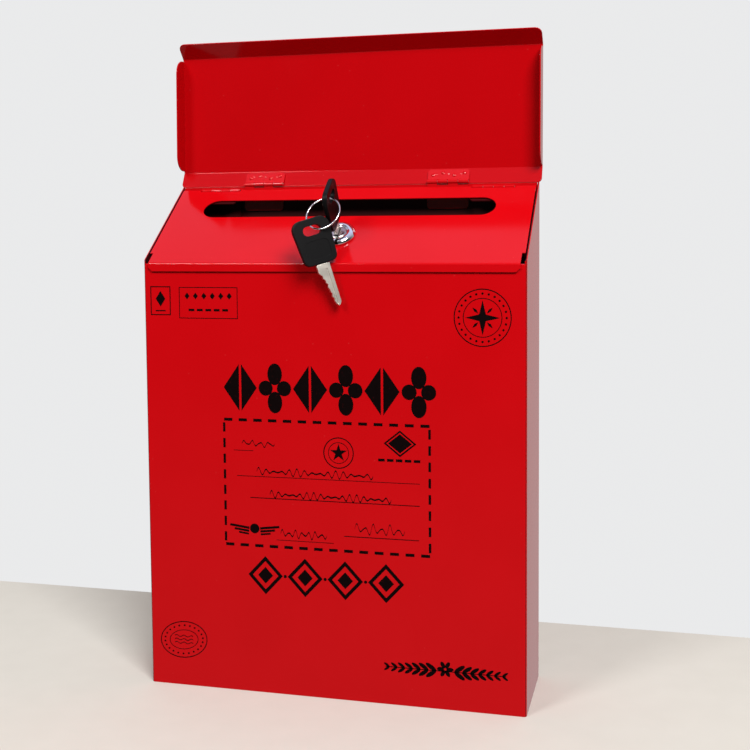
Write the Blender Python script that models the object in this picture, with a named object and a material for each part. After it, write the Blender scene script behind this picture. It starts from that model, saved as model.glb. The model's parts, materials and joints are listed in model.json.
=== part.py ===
"""Wall mounted sheet-metal mailbox: folded box, locked slot door, rain lid, cam lock and keys.

Frame: +X to the right, +Y into the wall, +Z up, metres. The origin is the centre of the wall
face of the back panel. The box hangs on the wall plane y = 0 and its front is at y = -DEPTH.
"""
import math

import bmesh
import bpy
from mathutils import Matrix, Vector

# ---------------------------------------------------------------- driving dimensions (metres)
WIDTH = 0.215                 # over the side walls
DEPTH = 0.058                 # wall plane to front panel
FRONT_HEIGHT = 0.2414         # bottom edge to the front end of the slope
REAR_HEIGHT = 0.2845          # bottom edge to the rear end of the slope
BASE_Z = -0.130               # bottom edge of the box in this frame
SHEET = 0.0008                # sheet steel
GAP = 0.0003                  # between pieces that touch or rest on one another
BEND = 0.0009                 # inner radius of a fold

SLOPE = math.atan2(REAR_HEIGHT - FRONT_HEIGHT, DEPTH)
FRONT_TOP_Z = BASE_Z + FRONT_HEIGHT

PANEL_DROP = 0.0012           # top of the front panel below the slope plane
PANEL_NOTCH = 0.0020          # how far up the slope that step runs
PANEL_LAP = -0.0009           # the return starts this far along the slope, inside the panel
RETURN_BEND = 0.0005
RETURN_REACH = 0.0080         # inward fold at the top of the front panel
RETURN_HALF = 0.1030
HEM_DEPTH = 0.0188            # down-turned hem that the cam catches under

FLOOR_LIFT = 0.0010
FLOOR_LIP = 0.0080
INNER_HALF = WIDTH / 2 - SHEET - GAP

BACK_TOP_Z = BASE_Z + 0.2839
BACK_FLANGE = 0.0080
BACK_FLANGE_Z = (BASE_Z + 0.0120, BASE_Z + 0.2620)
KEYHOLE_X = 0.0720
KEYHOLE_Z = BASE_Z + 0.2480
KEYHOLE_R = 0.0048
KEYSLOT_R = 0.0024
KEYSLOT_RISE = 0.0110

LID_PIN = (-0.0013, BASE_Z + 0.2854)      # y, z of the lid's hinge axis
LID_OPEN = math.radians(88.7)             # direction of the open lid, from +Y towards +Z
LID_HALF = 0.10875
LID_BAND_TURN = math.radians(-26.0)       # rear band against the main face
LID_BAND = (0.0006, 0.0093)               # start and end of the band, from the pin
LID_BAND_OFF = 0.0016                     # inner face of the band from the pin
LID_MAIN = 0.0686
LID_FRONT = 0.0110
LID_FRONT_TURN = math.radians(45.0)
LID_SIDE = 0.0110
LID_SIDE_MARGIN = 0.0012
LID_SIDE_CORNER = 0.0085
LID_TIP_ROUND = 0.0038                    # front corners of the flange
LID_BAND_ROUND = 0.0026                   # rear corners of the band

HINGE_WIDTH = 0.0240
KNUCKLES = 4
KNUCKLE_GAP = 0.0003
KNUCKLE_INSET = 0.00001                   # keeps the ends of a roll off its leaf's edges
LEAF_SINK = 0.00006                       # outer face of a leaf inside the barrel's tangent
LEAF_CORNER = 0.0012
LEAF_CLEAR = 0.0001
PIN_R = 0.0006
PIN_BORE = 0.00066
LEAF = 0.0007
DIMPLE_R = 0.0009
DIMPLE_DEPTH = 0.0003

LID_HINGE_X = 0.0555
LID_BARREL_R = 0.0013
LID_LEAF = 0.0082                         # far edge of the moving leaf from the pin
WALL_LEAF_DROP = 0.0155                   # far edge of a fixed leaf below the pin

DOOR_PIN = (-0.0023, BASE_Z + 0.2818)
DOOR_HINGE_X = 0.0820
DOOR_BARREL_R = 0.0011
DOOR_LEAF = 0.0125
DOOR_HALF = 0.1060
DOOR_REAR_Y = -0.0030
DOOR_LIP_Z = BASE_Z + 0.2360
DOOR_LIP_GAP = 0.0004
DOOR_LIP_CHAMFER = 0.0022
DOOR_NOTCH_X = 0.1042
DOOR_NOTCH_S = 0.0075
DOOR_FLANGE = 0.0080
DOOR_FLANGE_END = 0.0580
SLOT_X = -0.0006
SLOT_S = 0.0495
SLOT_HALF = 0.0862
SLOT_R = 0.0083

LOCK_X = 0.0010
LOCK_S = 0.0233
BEZEL_R = 0.0100
BEZEL_TOP = 0.0030
BARREL_R = 0.0080
BARREL_END = -0.0190
PLUG_R = 0.0050
PLUG_GAP = 0.0001
PLUG_FACE = 0.0025
KEYWAY = (0.0026, 0.0080, -0.0166)        # across, along, bottom
BEZEL_RIM = 0.0007                        # height of the bezel's cylindrical edge
BEZEL_SLOPE = 0.0026                      # width of its rounded shoulder
BEZEL_DISH = 0.0014                       # width of the dished ring round the plug
CORE_EDGE = 0.0004
NUT_FLATS = 0.0190
NUT_HEIGHT = 0.0035
CAM_TOP = -0.0193
CAM_THICK = 0.0015
CAM_REACH = 0.0220
CAM_HUB = 0.0065                          # half width round the screw
CAM_TIP = 0.0043                          # half width at the tip
SCREW_R = 0.0018
SCREW_HEAD_R = 0.0034
SCREW_HEAD = 0.0018
SCREW_DEPTH = 0.0020
SCREW_EDGE = 0.0010
DRIVE = (0.0020, 0.0004, 0.0009)          # half length, half width and depth of the cross recess

BOW_WIDE = 0.0225
BOW_NARROW = 0.0190
BOW_LONG = 0.0250
BOW_THICK = 0.0028
BOW_CORNER = 0.0052
BOW_EDGE = 0.0005
BOW_TIP_N = 0.0330                        # outer end of the inserted key above the slope
BOW_HOLE_DOWN = 0.0065                    # hole centre from the outer end
BOW_HOLE = (0.0106, 0.0052)
BLADE_THICK = 0.0021
BLADE_WIDE = 0.0076
BLADE_LONG = 0.0240
BLADE_NECK = 0.0050                       # uncut length below the bow
CUT_PITCH = 0.0026
CUT_DEPTHS = (0.0008, 0.0016, 0.0010, 0.0018, 0.0012, 0.0016)
BLADE_TIP = (0.0030, 0.0022, 0.0026)      # the two bevels at the tip, and the height of the second
GROOVE = (0.0006, 0.0016, 0.0005)         # its two edges across the blade, and its depth
TANG = (0.0012, 0.0060, 0.0050)           # thickness, width and length inside the bow

RING_R = 0.0098
RING_WIRE = 0.0006
RING_SIDE = -0.00167                      # ring centre beside the lock axis
RING_TILT = math.radians(-32.75)
RING_YAW = math.radians(-12.14)
RING_AT_N = 0.0250                        # where the ring passes through the inserted key
SPARE_AT = math.radians(-7.64)            # place of the spare key round the ring, from its foot
SPARE_YAW = math.radians(36.64)
SPARE_LEAN = math.radians(-8.24)
SPARE_ROLL = math.radians(-15.44)
SPARE_WIRE = (0.0, 0.00294, 0.0001)       # where the wire crosses the spare key's hole

ROUND = 32
SMALL_ROUND = 16
ARC = 4
SMOOTH_ANGLE = math.radians(32.0)


# ---------------------------------------------------------------- materials
def material(name, colour, roughness, metallic, coat=0.0):
    """A plain Principled material."""
    found = bpy.data.materials.new(name)
    found.use_nodes = True
    shader = found.node_tree.nodes["Principled BSDF"]
    shader.inputs["Base Color"].default_value = (*colour, 1.0)
    shader.inputs["Roughness"].default_value = roughness
    shader.inputs["Metallic"].default_value = metallic
    shader.inputs["Coat Weight"].default_value = coat
    found.diffuse_color = (*colour, 1.0)
    return found


def all_materials():
    """Every finish on the mailbox, by name."""
    return {
        "red_paint": material("red_paint", (0.60, 0.008, 0.012), 0.28, 0.0, 0.4),
        "red_paint_lid": material("red_paint_lid", (0.58, 0.007, 0.011), 0.28, 0.0, 0.4),
        "red_paint_door": material("red_paint_door", (0.62, 0.009, 0.013), 0.28, 0.0, 0.4),
        "red_paint_inside": material("red_paint_inside", (0.52, 0.008, 0.011), 0.36, 0.0),
        "red_paint_hinge": material("red_paint_hinge", (0.55, 0.008, 0.012), 0.34, 0.0),
        "pin_steel": material("pin_steel", (0.42, 0.41, 0.40), 0.34, 1.0),
        "chrome": material("chrome", (0.78, 0.79, 0.80), 0.09, 1.0),
        "plug_nickel": material("plug_nickel", (0.66, 0.65, 0.62), 0.20, 1.0),
        "zinc_nut": material("zinc_nut", (0.56, 0.57, 0.58), 0.36, 1.0),
        "zinc_cam": material("zinc_cam", (0.60, 0.60, 0.58), 0.40, 1.0),
        "screw_steel": material("screw_steel", (0.48, 0.48, 0.47), 0.30, 1.0),
        "key_nickel": material("key_nickel", (0.62, 0.60, 0.55), 0.27, 1.0),
        "key_plastic": material("key_plastic", (0.012, 0.012, 0.013), 0.48, 0.0),
        "ring_steel": material("ring_steel", (0.74, 0.73, 0.70), 0.14, 1.0),
    }


# ---------------------------------------------------------------- shapes
def clear_scene():
    """Empties the scene."""
    for thing in list(bpy.data.objects):
        bpy.data.objects.remove(thing, do_unlink=True)


def frame(name, location, turn=0.0, parent=None):
    """An empty whose X is along the hinge lines, turned by an angle about X."""
    empty = bpy.data.objects.new(name, None)
    empty.empty_display_size = 0.01
    empty.location = location
    empty.rotation_euler = (turn, 0.0, 0.0)
    empty.parent = parent
    bpy.context.scene.collection.objects.link(empty)
    return empty


def mesh_object(name, shape, finish, parent=None, smooth=False):
    """Turns a bmesh into a named object in its parent's frame."""
    bmesh.ops.recalc_face_normals(shape, faces=shape.faces)
    mesh = bpy.data.meshes.new(name)
    shape.to_mesh(mesh)
    shape.free()
    if smooth:
        mesh.shade_smooth()
        mesh.set_sharp_from_angle(angle=SMOOTH_ANGLE)
    obj = bpy.data.objects.new(name, mesh)
    obj.parent = parent
    if finish is not None:
        mesh.materials.append(finish)
    bpy.context.scene.collection.objects.link(obj)
    return obj


def prism(outline, low, high, axis="x"):
    """A bmesh of a flat outline pulled along an axis. The outline is (y, z), (x, z) or (x, y)."""
    place = {
        "x": lambda u, v, w: (w, u, v),
        "y": lambda u, v, w: (u, w, v),
        "z": lambda u, v, w: (u, v, w),
    }[axis]
    shape = bmesh.new()
    face = shape.faces.new([shape.verts.new(place(u, v, low)) for u, v in outline])
    grown = bmesh.ops.extrude_face_region(shape, geom=[face])
    moved = [item for item in grown["geom"] if isinstance(item, bmesh.types.BMVert)]
    bmesh.ops.translate(shape, verts=moved, vec=place(0.0, 0.0, high - low))
    return shape


def block(low, high):
    """A box between two corners."""
    return prism(
        [(low[0], low[1]), (high[0], low[1]), (high[0], high[1]), (low[0], high[1])],
        low[2],
        high[2],
        "z",
    )


def rounded(points, radii, steps=ARC):
    """A closed outline with each corner turned into an arc of its own radius."""
    out = []
    count = len(points)
    for i, radius in enumerate(radii):
        here = Vector(points[i])
        before = (Vector(points[i - 1]) - here).normalized()
        after = (Vector(points[(i + 1) % count]) - here).normalized()
        if radius <= 0.0:
            out.append(tuple(here))
            continue
        half = before.angle(after) / 2
        centre = here + (before + after).normalized() * (radius / math.sin(half))
        start = here + before * (radius / math.tan(half)) - centre
        sweep = start.angle_signed(here + after * (radius / math.tan(half)) - centre)
        for k in range(steps + 1):
            turn = Matrix.Rotation(-sweep * k / steps, 2)
            out.append(tuple(centre + turn @ start))
    return out


def folded(path, thickness, bend=BEND, steps=ARC):
    """The closed outline of a sheet folded along a path, with its thickness on the left."""
    face, other = [], []
    last = len(path) - 1
    for i, point in enumerate(path):
        here = Vector(point)
        if i in (0, last):
            ahead = (Vector(path[1]) - here) if i == 0 else (here - Vector(path[i - 1]))
            normal = Vector((-ahead.y, ahead.x)).normalized()
            face.append(here)
            other.append(here + normal * thickness)
            continue
        before = (here - Vector(path[i - 1])).normalized()
        after = (Vector(path[i + 1]) - here).normalized()
        turn = math.atan2(before.x * after.y - before.y * after.x, before.dot(after))
        side = 1.0 if turn > 0 else -1.0
        radius = bend + thickness if turn > 0 else bend
        centre = (
            here
            - before * radius * math.tan(abs(turn) / 2)
            + Vector((-before.y, before.x)) * side * radius
        )
        first = Vector((before.y, -before.x)) * side
        for k in range(steps + 1):
            spoke = Matrix.Rotation(turn * k / steps, 2) @ first
            face.append(centre + spoke * radius)
            other.append(centre + spoke * (radius - side * thickness))
    return [tuple(p) for p in face + other[::-1]]


def circle(centre, radius, count=ROUND):
    """A round outline."""
    return [
        (
            centre[0] + radius * math.cos(2 * math.pi * k / count),
            centre[1] + radius * math.sin(2 * math.pi * k / count),
        )
        for k in range(count)
    ]


def stadium(centre, half, radius, steps=10):
    """An outline with straight sides and full round ends, long along its first axis."""
    return rounded(
        [
            (centre[0] - half, centre[1] - radius),
            (centre[0] + half, centre[1] - radius),
            (centre[0] + half, centre[1] + radius),
            (centre[0] - half, centre[1] + radius),
        ],
        [radius * 0.999] * 4,
        steps,
    )


def across(edge):
    """Whether an edge of a folded sheet runs through its thickness, square to the folds."""
    return abs(edge.verts[0].co.x - edge.verts[1].co.x) < 1e-6


def round_corners(shape, chosen, radius, segments=ARC):
    """Bevels the edges that a test picks."""
    edges = [edge for edge in shape.edges if chosen(edge)]
    bmesh.ops.bevel(
        shape, geom=edges, offset=radius, segments=segments, profile=0.5, affect="EDGES"
    )


def combine(obj, shape, operation="DIFFERENCE", parent=None):
    """Cuts a shape from the object, or joins it on. The cutter sits in the object's own frame."""
    tool = mesh_object(f"{obj.name}_tool", shape, None, parent or obj.parent)
    tool.hide_render = True
    tool.display_type = "WIRE"
    step = obj.modifiers.new(operation.title(), "BOOLEAN")
    step.operation = operation
    step.solver = "EXACT"
    step.object = tool
    return obj


def turned(profile, steps=ROUND):
    """A bmesh of a closed (radius, height) profile spun about local Z."""
    shape = bmesh.new()
    verts = [shape.verts.new((r, 0.0, h)) for r, h in profile]
    loop = [shape.edges.new((v, verts[(i + 1) % len(verts)])) for i, v in enumerate(verts)]
    bmesh.ops.spin(
        shape,
        geom=verts + loop,
        cent=(0.0, 0.0, 0.0),
        axis=(0.0, 0.0, 1.0),
        angle=2 * math.pi,
        steps=steps,
        use_merge=True,
    )
    bmesh.ops.remove_doubles(shape, verts=shape.verts, dist=1e-7)
    return shape


# ---------------------------------------------------------------- frames
def slope_point(x, along, above):
    """A point of the slope frame (x, up the slope, off the slope) in the row frame."""
    return Vector(
        (
            x,
            -DEPTH + along * math.cos(SLOPE) - above * math.sin(SLOPE),
            FRONT_TOP_Z + along * math.sin(SLOPE) + above * math.cos(SLOPE),
        )
    )


def door_local(along, above):
    """A slope position as (y, z) in the door's frame, whose origin is on the door's pin."""
    pin = Vector((DOOR_PIN[0] + DEPTH, DOOR_PIN[1] - FRONT_TOP_Z))
    pin_along = pin.x * math.cos(SLOPE) + pin.y * math.sin(SLOPE)
    pin_above = -pin.x * math.sin(SLOPE) + pin.y * math.cos(SLOPE)
    return (along - pin_along, above - pin_above)


def all_frames():
    """The empties that carry the moving pieces: one on each joint axis."""
    root = frame("box_frame", (0.0, 0.0, 0.0))
    slope = frame("slope_frame", slope_point(0.0, 0.0, 0.0), SLOPE)
    lid = frame("lid_axis", (0.0, *LID_PIN), LID_OPEN)
    door = frame("door_axis", (0.0, *DOOR_PIN), SLOPE)
    lock_y, lock_z = door_local(LOCK_S, 0.0)
    lock = frame("lock_axis", (LOCK_X, lock_y, lock_z), 0.0, door)
    ring = frame("ring_axis", slope_point(LOCK_X, LOCK_S, RING_AT_N), RING_TILT)
    ring.rotation_euler.z = RING_YAW
    return {"root": root, "slope": slope, "lid": lid, "door": door, "lock": lock, "ring": ring}


# ---------------------------------------------------------------- the box
def body_shell(finish, frames):
    """Front panel and both side walls from one sheet, with the return that the cam catches."""
    half = WIDTH / 2
    path = [(-half, 0.0), (-half, -DEPTH), (half, -DEPTH), (half, 0.0)]
    shape = prism(folded(path, SHEET), BASE_Z, BASE_Z + REAR_HEIGHT + GAP, "z")
    shell = mesh_object("body_shell", shape, finish, frames["root"], smooth=True)
    over = block((-WIDTH, -DEPTH, 0.0), (WIDTH, DEPTH * 2, DEPTH))
    combine(shell, over, "DIFFERENCE", frames["slope"])
    lowered = block((-INNER_HALF, -DEPTH / 10, -PANEL_DROP), (INNER_HALF, PANEL_NOTCH, 0.01))
    combine(shell, lowered, "DIFFERENCE", frames["slope"])
    path = [
        (RETURN_REACH, -HEM_DEPTH),
        (RETURN_REACH, -PANEL_DROP),
        (PANEL_LAP, -PANEL_DROP),
    ]
    inward = prism(folded(path, SHEET, RETURN_BEND), -RETURN_HALF, RETURN_HALF)
    return combine(shell, inward, "UNION", frames["slope"])


def bottom_plate(finish, frames):
    """The floor: a shallow tray with its rim turned up inside the walls."""
    low = (-INNER_HALF, -DEPTH + SHEET + GAP, BASE_Z + FLOOR_LIFT)
    high = (INNER_HALF, -SHEET - GAP, BASE_Z + FLOOR_LIFT + FLOOR_LIP)
    floor = mesh_object("bottom_plate", block(low, high), finish, frames["root"])
    pocket = block(
        (low[0] + SHEET, low[1] + SHEET, low[2] + SHEET),
        (high[0] - SHEET, high[1] - SHEET, high[2] + 0.01),
    )
    return combine(floor, pocket, "DIFFERENCE")


def back_panel(finish, frames):
    """The wall side, with side flanges and two keyholes to hang it by."""
    shape = block((-INNER_HALF, -SHEET, BASE_Z + GAP), (INNER_HALF, 0.0, BACK_TOP_Z))
    panel = mesh_object("back_panel", shape, finish, frames["root"])
    for side in (-1, 1):
        xs = sorted((side * INNER_HALF, side * (INNER_HALF - SHEET)))
        low = (xs[0], -BACK_FLANGE, BACK_FLANGE_Z[0])
        high = (xs[1], -SHEET / 2, BACK_FLANGE_Z[1])
        combine(panel, block(low, high), "UNION")
    for side in (-1, 1):
        x = side * KEYHOLE_X
        entry = prism(circle((x, KEYHOLE_Z), KEYHOLE_R, ROUND), -0.004, 0.004, "y")
        combine(panel, entry)
        slot = [
            (v, u + KEYHOLE_Z + KEYSLOT_RISE / 2)
            for u, v in stadium((0.0, x), KEYSLOT_RISE / 2 + KEYSLOT_R, KEYSLOT_R, 6)
        ]
        combine(panel, prism(slot, -0.004, 0.004, "y"))
    return panel


# ---------------------------------------------------------------- lid and door
def lid_section():
    """The face line of the lid in its own frame: rear band, main face, front flange."""
    along = Vector((math.cos(LID_BAND_TURN), math.sin(LID_BAND_TURN)))
    out = Vector((math.sin(LID_BAND_TURN), -math.cos(LID_BAND_TURN)))
    start = out * LID_BAND_OFF + along * LID_BAND[0]
    bend = out * LID_BAND_OFF + along * LID_BAND[1]
    fold = bend + Vector((LID_MAIN, 0.0))
    tip = fold + Vector((math.cos(LID_FRONT_TURN), math.sin(LID_FRONT_TURN))) * LID_FRONT
    return start, bend, fold, tip


def lid(finish, frames):
    """The rain lid: one sheet with a rear band, turned-in sides and a front flange."""
    start, bend, fold, tip = lid_section()
    outline = folded([tip, fold, bend, start], SHEET)
    shape = prism(outline, -LID_HALF, LID_HALF)

    def at_tip(edge):
        return across(edge) and all(v.co.y > (fold.x + tip.x) / 2 for v in edge.verts)

    def at_start(edge):
        return across(edge) and all(v.co.y < start.x + SHEET for v in edge.verts)

    round_corners(shape, at_tip, LID_TIP_ROUND)
    round_corners(shape, at_start, LID_BAND_ROUND)
    cover = mesh_object("lid", shape, finish, frames["lid"], smooth=True)
    near = bend.x + LID_SIDE_MARGIN
    far = fold.x - LID_SIDE_MARGIN
    wing = rounded(
        [
            (near, bend.y - SHEET),
            (far, bend.y - SHEET),
            (far, bend.y + LID_SIDE),
            (near, bend.y + LID_SIDE),
        ],
        [0.0, 0.0, LID_SIDE_CORNER, LID_SIDE_CORNER],
        8,
    )
    for side in (-1, 1):
        xs = sorted((side * LID_HALF, side * (LID_HALF - SHEET)))
        combine(cover, prism(wing, xs[0], xs[1]), "UNION")
    return cover


def slot_door(finish, frames):
    """The sloped, lockable door with the letter slot, side flanges and front lip."""
    rear = (DOOR_REAR_Y + DEPTH) / math.cos(SLOPE)
    lip_y = -DEPTH - DOOR_LIP_GAP - SHEET
    fold = (lip_y + DEPTH) / math.cos(SLOPE)
    fold_z = FRONT_TOP_Z + fold * math.sin(SLOPE)
    drop = fold_z - DOOR_LIP_Z
    lip = (fold - drop * math.sin(SLOPE), -drop * math.cos(SLOPE))
    path = [door_local(rear, 0.0), door_local(fold, 0.0), door_local(*lip)]
    shape = prism(folded(path, SHEET), -DOOR_NOTCH_X, DOOR_NOTCH_X)
    low_edge = door_local(*lip)[1]

    def lip_corner(edge):
        return across(edge) and all(v.co.z < low_edge + SHEET for v in edge.verts)

    round_corners(shape, lip_corner, DOOR_LIP_CHAMFER, 1)
    door = mesh_object("slot_door", shape, finish, frames["door"], smooth=True)
    start = door_local(DOOR_NOTCH_S, 0.0)
    end = door_local(DOOR_FLANGE_END, -DOOR_FLANGE)
    rear_y = door_local(rear, 0.0)[0]
    for side in (-1, 1):
        edge = [
            (rear_y, start[1]),
            (start[0], start[1]),
            (start[0], end[1]),
            (end[0], end[1]),
            (end[0], start[1] - SHEET),
            (rear_y, start[1] - SHEET),
        ]
        xs = sorted((side * DOOR_HALF, side * (DOOR_HALF - SHEET)))
        combine(door, prism(edge, xs[0], xs[1]), "UNION")
        xs = sorted((side * (DOOR_NOTCH_X - 0.001), side * (DOOR_HALF - SHEET / 2)))
        strip = block((xs[0], start[0], start[1] - SHEET), (xs[1], rear_y, start[1]))
        combine(door, strip, "UNION")
        xs = sorted(
            (side * (DOOR_HINGE_X - HINGE_WIDTH / 2), side * (DOOR_HINGE_X + HINGE_WIDTH / 2))
        )
        near = -DOOR_BARREL_R - 2 * GAP
        room = block((xs[0] - 2 * GAP, near, -0.01), (xs[1] + 2 * GAP, 0.01, 0.01))
        combine(door, room)
    slot = stadium((SLOT_X, door_local(SLOT_S, 0.0)[0]), SLOT_HALF, SLOT_R)
    combine(door, prism(slot, -0.01, 0.01, "z"))
    hole = circle((LOCK_X, door_local(LOCK_S, 0.0)[0]), BARREL_R + PLUG_GAP, ROUND)
    return combine(door, prism(hole, -0.01, 0.01, "z"))


# ---------------------------------------------------------------- hinges
def knuckle_spans(centre, odd):
    """The x spans of every other knuckle of a hinge."""
    pitch = HINGE_WIDTH / KNUCKLES
    start = centre - HINGE_WIDTH / 2
    return [
        (start + k * pitch + KNUCKLE_GAP / 2, start + (k + 1) * pitch - KNUCKLE_GAP / 2)
        for k in range(KNUCKLES)
        if k % 2 == odd
    ]


def comb(centre, odd, clear, far):
    """The flat outline of a hinge leaf: a plate from clear to far, with necks that reach the pin."""
    low = centre - HINGE_WIDTH / 2
    high = centre + HINGE_WIDTH / 2
    outline = [(high, clear), (high, far - LEAF_CORNER), (high - LEAF_CORNER, far)]
    outline += [(low + LEAF_CORNER, far), (low, far - LEAF_CORNER), (low, clear)]
    for start, end in knuckle_spans(centre, odd):
        outline += [(start, clear), (start, 0.0), (end, 0.0), (end, clear)]
    return [p for i, p in enumerate(outline) if p != outline[i - 1]]


def roll_knuckles(piece, centre, odd, barrel):
    """Joins every other knuckle of a hinge to its leaf, and bores each for the pin."""
    for low, high in knuckle_spans(centre, odd):
        ends = (low + KNUCKLE_INSET, high - KNUCKLE_INSET)
        combine(piece, prism(circle((0.0, 0.0), barrel, SMALL_ROUND), *ends), "UNION")
        ends = (low - KNUCKLE_GAP / 3, high + KNUCKLE_GAP / 3)
        combine(piece, prism(circle((0.0, 0.0), PIN_BORE, SMALL_ROUND), *ends))


def leaf(name, parent, centre, barrel, side, far, finish):
    """A moving hinge leaf along local +Y from the pin, with its knuckles about local X.

    Its outer face is tangent to the barrel on the side given: +1 is local +Z. The spot welds are
    dimples in the other face.
    """
    outer = side * (barrel - LEAF_SINK)
    faces = sorted((outer, outer - side * LEAF))
    clear = barrel + GAP + LEAF_CLEAR
    shape = prism(comb(centre, 1, clear, far), *faces, "z")
    piece = mesh_object(name, shape, finish, parent, smooth=True)
    roll_knuckles(piece, centre, 1, barrel)
    open_face = faces[1] if side < 0 else faces[0]
    turn = Matrix.Identity(4) if side < 0 else Matrix.Rotation(math.pi, 4, "X")
    for step in (-0.30, 0.0, 0.30):
        spot = turned(
            [
                (0.0, -DIMPLE_DEPTH),
                (DIMPLE_R * 0.4, -DIMPLE_DEPTH),
                (DIMPLE_R, 0.0),
                (DIMPLE_R, DIMPLE_DEPTH),
                (0.0, DIMPLE_DEPTH),
            ],
            10,
        )
        at = (centre + step * HINGE_WIDTH, (clear + far) / 2, open_face)
        spot.transform(Matrix.Translation(at) @ turn)
        combine(piece, spot)
    return piece


def fixed_leaf(name, parent, centre, barrel, at, finish):
    """The wall-side leaf of a hinge, flat against the inner face of the back panel.

    In its frame +Y points down and +Z to the wall, so the panel is on the +Z side.
    """
    face = -SHEET - GAP - at[0]
    faces = (face - LEAF, face)
    clear = barrel + 2 * (GAP + LEAF_CLEAR)
    shape = prism(comb(centre, 0, clear, WALL_LEAF_DROP), *faces, "z")
    piece = mesh_object(name, shape, finish, parent, smooth=True)
    roll_knuckles(piece, centre, 0, barrel)
    return piece


def pin(name, parent, centre, finish):
    """A hinge pin along local X."""
    shape = prism(
        circle((0.0, 0.0), PIN_R, SMALL_ROUND),
        centre - HINGE_WIDTH / 2 + KNUCKLE_GAP / 3,
        centre + HINGE_WIDTH / 2 - KNUCKLE_GAP / 3,
    )
    return mesh_object(name, shape, finish, parent, smooth=True)


def lid_hinges(paint, steel, frames):
    """Two butt hinges: one leaf inside the back panel, one on the inner face of the lid band."""
    wall = frame("lid_hinge_wall", (0.0, *LID_PIN), -math.pi / 2)
    band = frame("lid_hinge_band", (0.0, 0.0, 0.0), LID_BAND_TURN, frames["lid"])
    for word, side in (("left", -1), ("right", 1)):
        x = side * LID_HINGE_X
        fixed_leaf(f"lid_hinge_wall_leaf_{word}", wall, x, LID_BARREL_R, LID_PIN, paint)
        leaf(f"lid_hinge_lid_leaf_{word}", band, x, LID_BARREL_R, -1, LID_LEAF, paint)
        pin(f"lid_hinge_pin_{word}", wall, x, steel)


def door_hinges(paint, steel, frames):
    """Two hidden butt hinges: one leaf inside the back panel, one under the slot door."""
    wall = frame("door_hinge_wall", (0.0, *DOOR_PIN), -math.pi / 2)
    under = frame("door_hinge_under", (0.0, 0.0, 0.0), math.pi, frames["door"])
    for word, side in (("left", -1), ("right", 1)):
        x = side * DOOR_HINGE_X
        fixed_leaf(f"door_hinge_wall_leaf_{word}", wall, x, DOOR_BARREL_R, DOOR_PIN, paint)
        leaf(f"door_hinge_door_leaf_{word}", under, x, DOOR_BARREL_R, 1, DOOR_LEAF, paint)
        pin(f"door_hinge_pin_{word}", wall, x, steel)


# ---------------------------------------------------------------- lock
def lock_housing(finish, frames):
    """Chrome bezel and barrel, fixed in the door."""
    bore = PLUG_R + PLUG_GAP
    profile = [
        (bore, BARREL_END),
        (BARREL_R, BARREL_END),
        (BARREL_R, GAP),
        (BEZEL_R, GAP),
        (BEZEL_R, GAP + BEZEL_RIM),
        (BEZEL_R - BEZEL_SLOPE / 3, BEZEL_TOP - BEZEL_SLOPE / 3),
        (BEZEL_R - BEZEL_SLOPE, BEZEL_TOP),
        (bore + BEZEL_DISH, BEZEL_TOP),
        (bore + CORE_EDGE, BEZEL_TOP - CORE_EDGE),
        (bore, PLUG_FACE - 2 * CORE_EDGE),
    ]
    return mesh_object("lock_housing", turned(profile, 40), finish, frames["lock"], smooth=True)


def lock_nut(finish, frames):
    """The hexagon nut that clamps the lock under the door."""
    top = -SHEET - GAP
    nut = prism(circle((0.0, 0.0), NUT_FLATS / math.sqrt(3.0), 6), top - NUT_HEIGHT, top, "z")
    piece = mesh_object("lock_nut", nut, finish, frames["lock"])
    bore = prism(circle((0.0, 0.0), BARREL_R + PLUG_GAP, 40), top - 0.02, top + 0.02, "z")
    return combine(piece, bore)


def lock_plug(finish, frames):
    """The turning core with its keyway and the tapped hole for the cam screw."""
    end = CAM_TOP + GAP
    profile = [
        (0.0, end),
        (PLUG_R, end),
        (PLUG_R, PLUG_FACE - CORE_EDGE),
        (PLUG_R - CORE_EDGE, PLUG_FACE),
        (0.0, PLUG_FACE),
    ]
    plug = mesh_object("lock_plug", turned(profile, 40), finish, frames["lock"], smooth=True)
    across, along, bottom = KEYWAY
    way = block((-across / 2, -along / 2, bottom), (across / 2, along / 2, 0.02))
    combine(plug, way)
    tapped = prism(
        circle((0.0, 0.0), SCREW_R + PLUG_GAP, SMALL_ROUND), end - 0.01, end + SCREW_DEPTH, "z"
    )
    return combine(plug, tapped)


def lock_cam(finish, frames):
    """The flat cam, turned aside to the right; turning the key swings it to the front."""
    hub, tip = CAM_HUB, CAM_TIP
    outline = rounded(
        [(-hub, -hub), (0.0, -hub), (CAM_REACH, -tip), (CAM_REACH, tip), (0.0, hub), (-hub, hub)],
        [hub * 0.77, 0.0, tip * 0.7, tip * 0.7, 0.0, hub * 0.77],
    )
    shape = prism(outline, CAM_TOP - CAM_THICK, CAM_TOP, "z")
    cam = mesh_object("lock_cam", shape, finish, frames["lock"])
    hole = circle((0.0, 0.0), SCREW_R + PLUG_GAP, SMALL_ROUND)
    return combine(cam, prism(hole, CAM_TOP - 0.01, CAM_TOP + 0.01, "z"))


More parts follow.
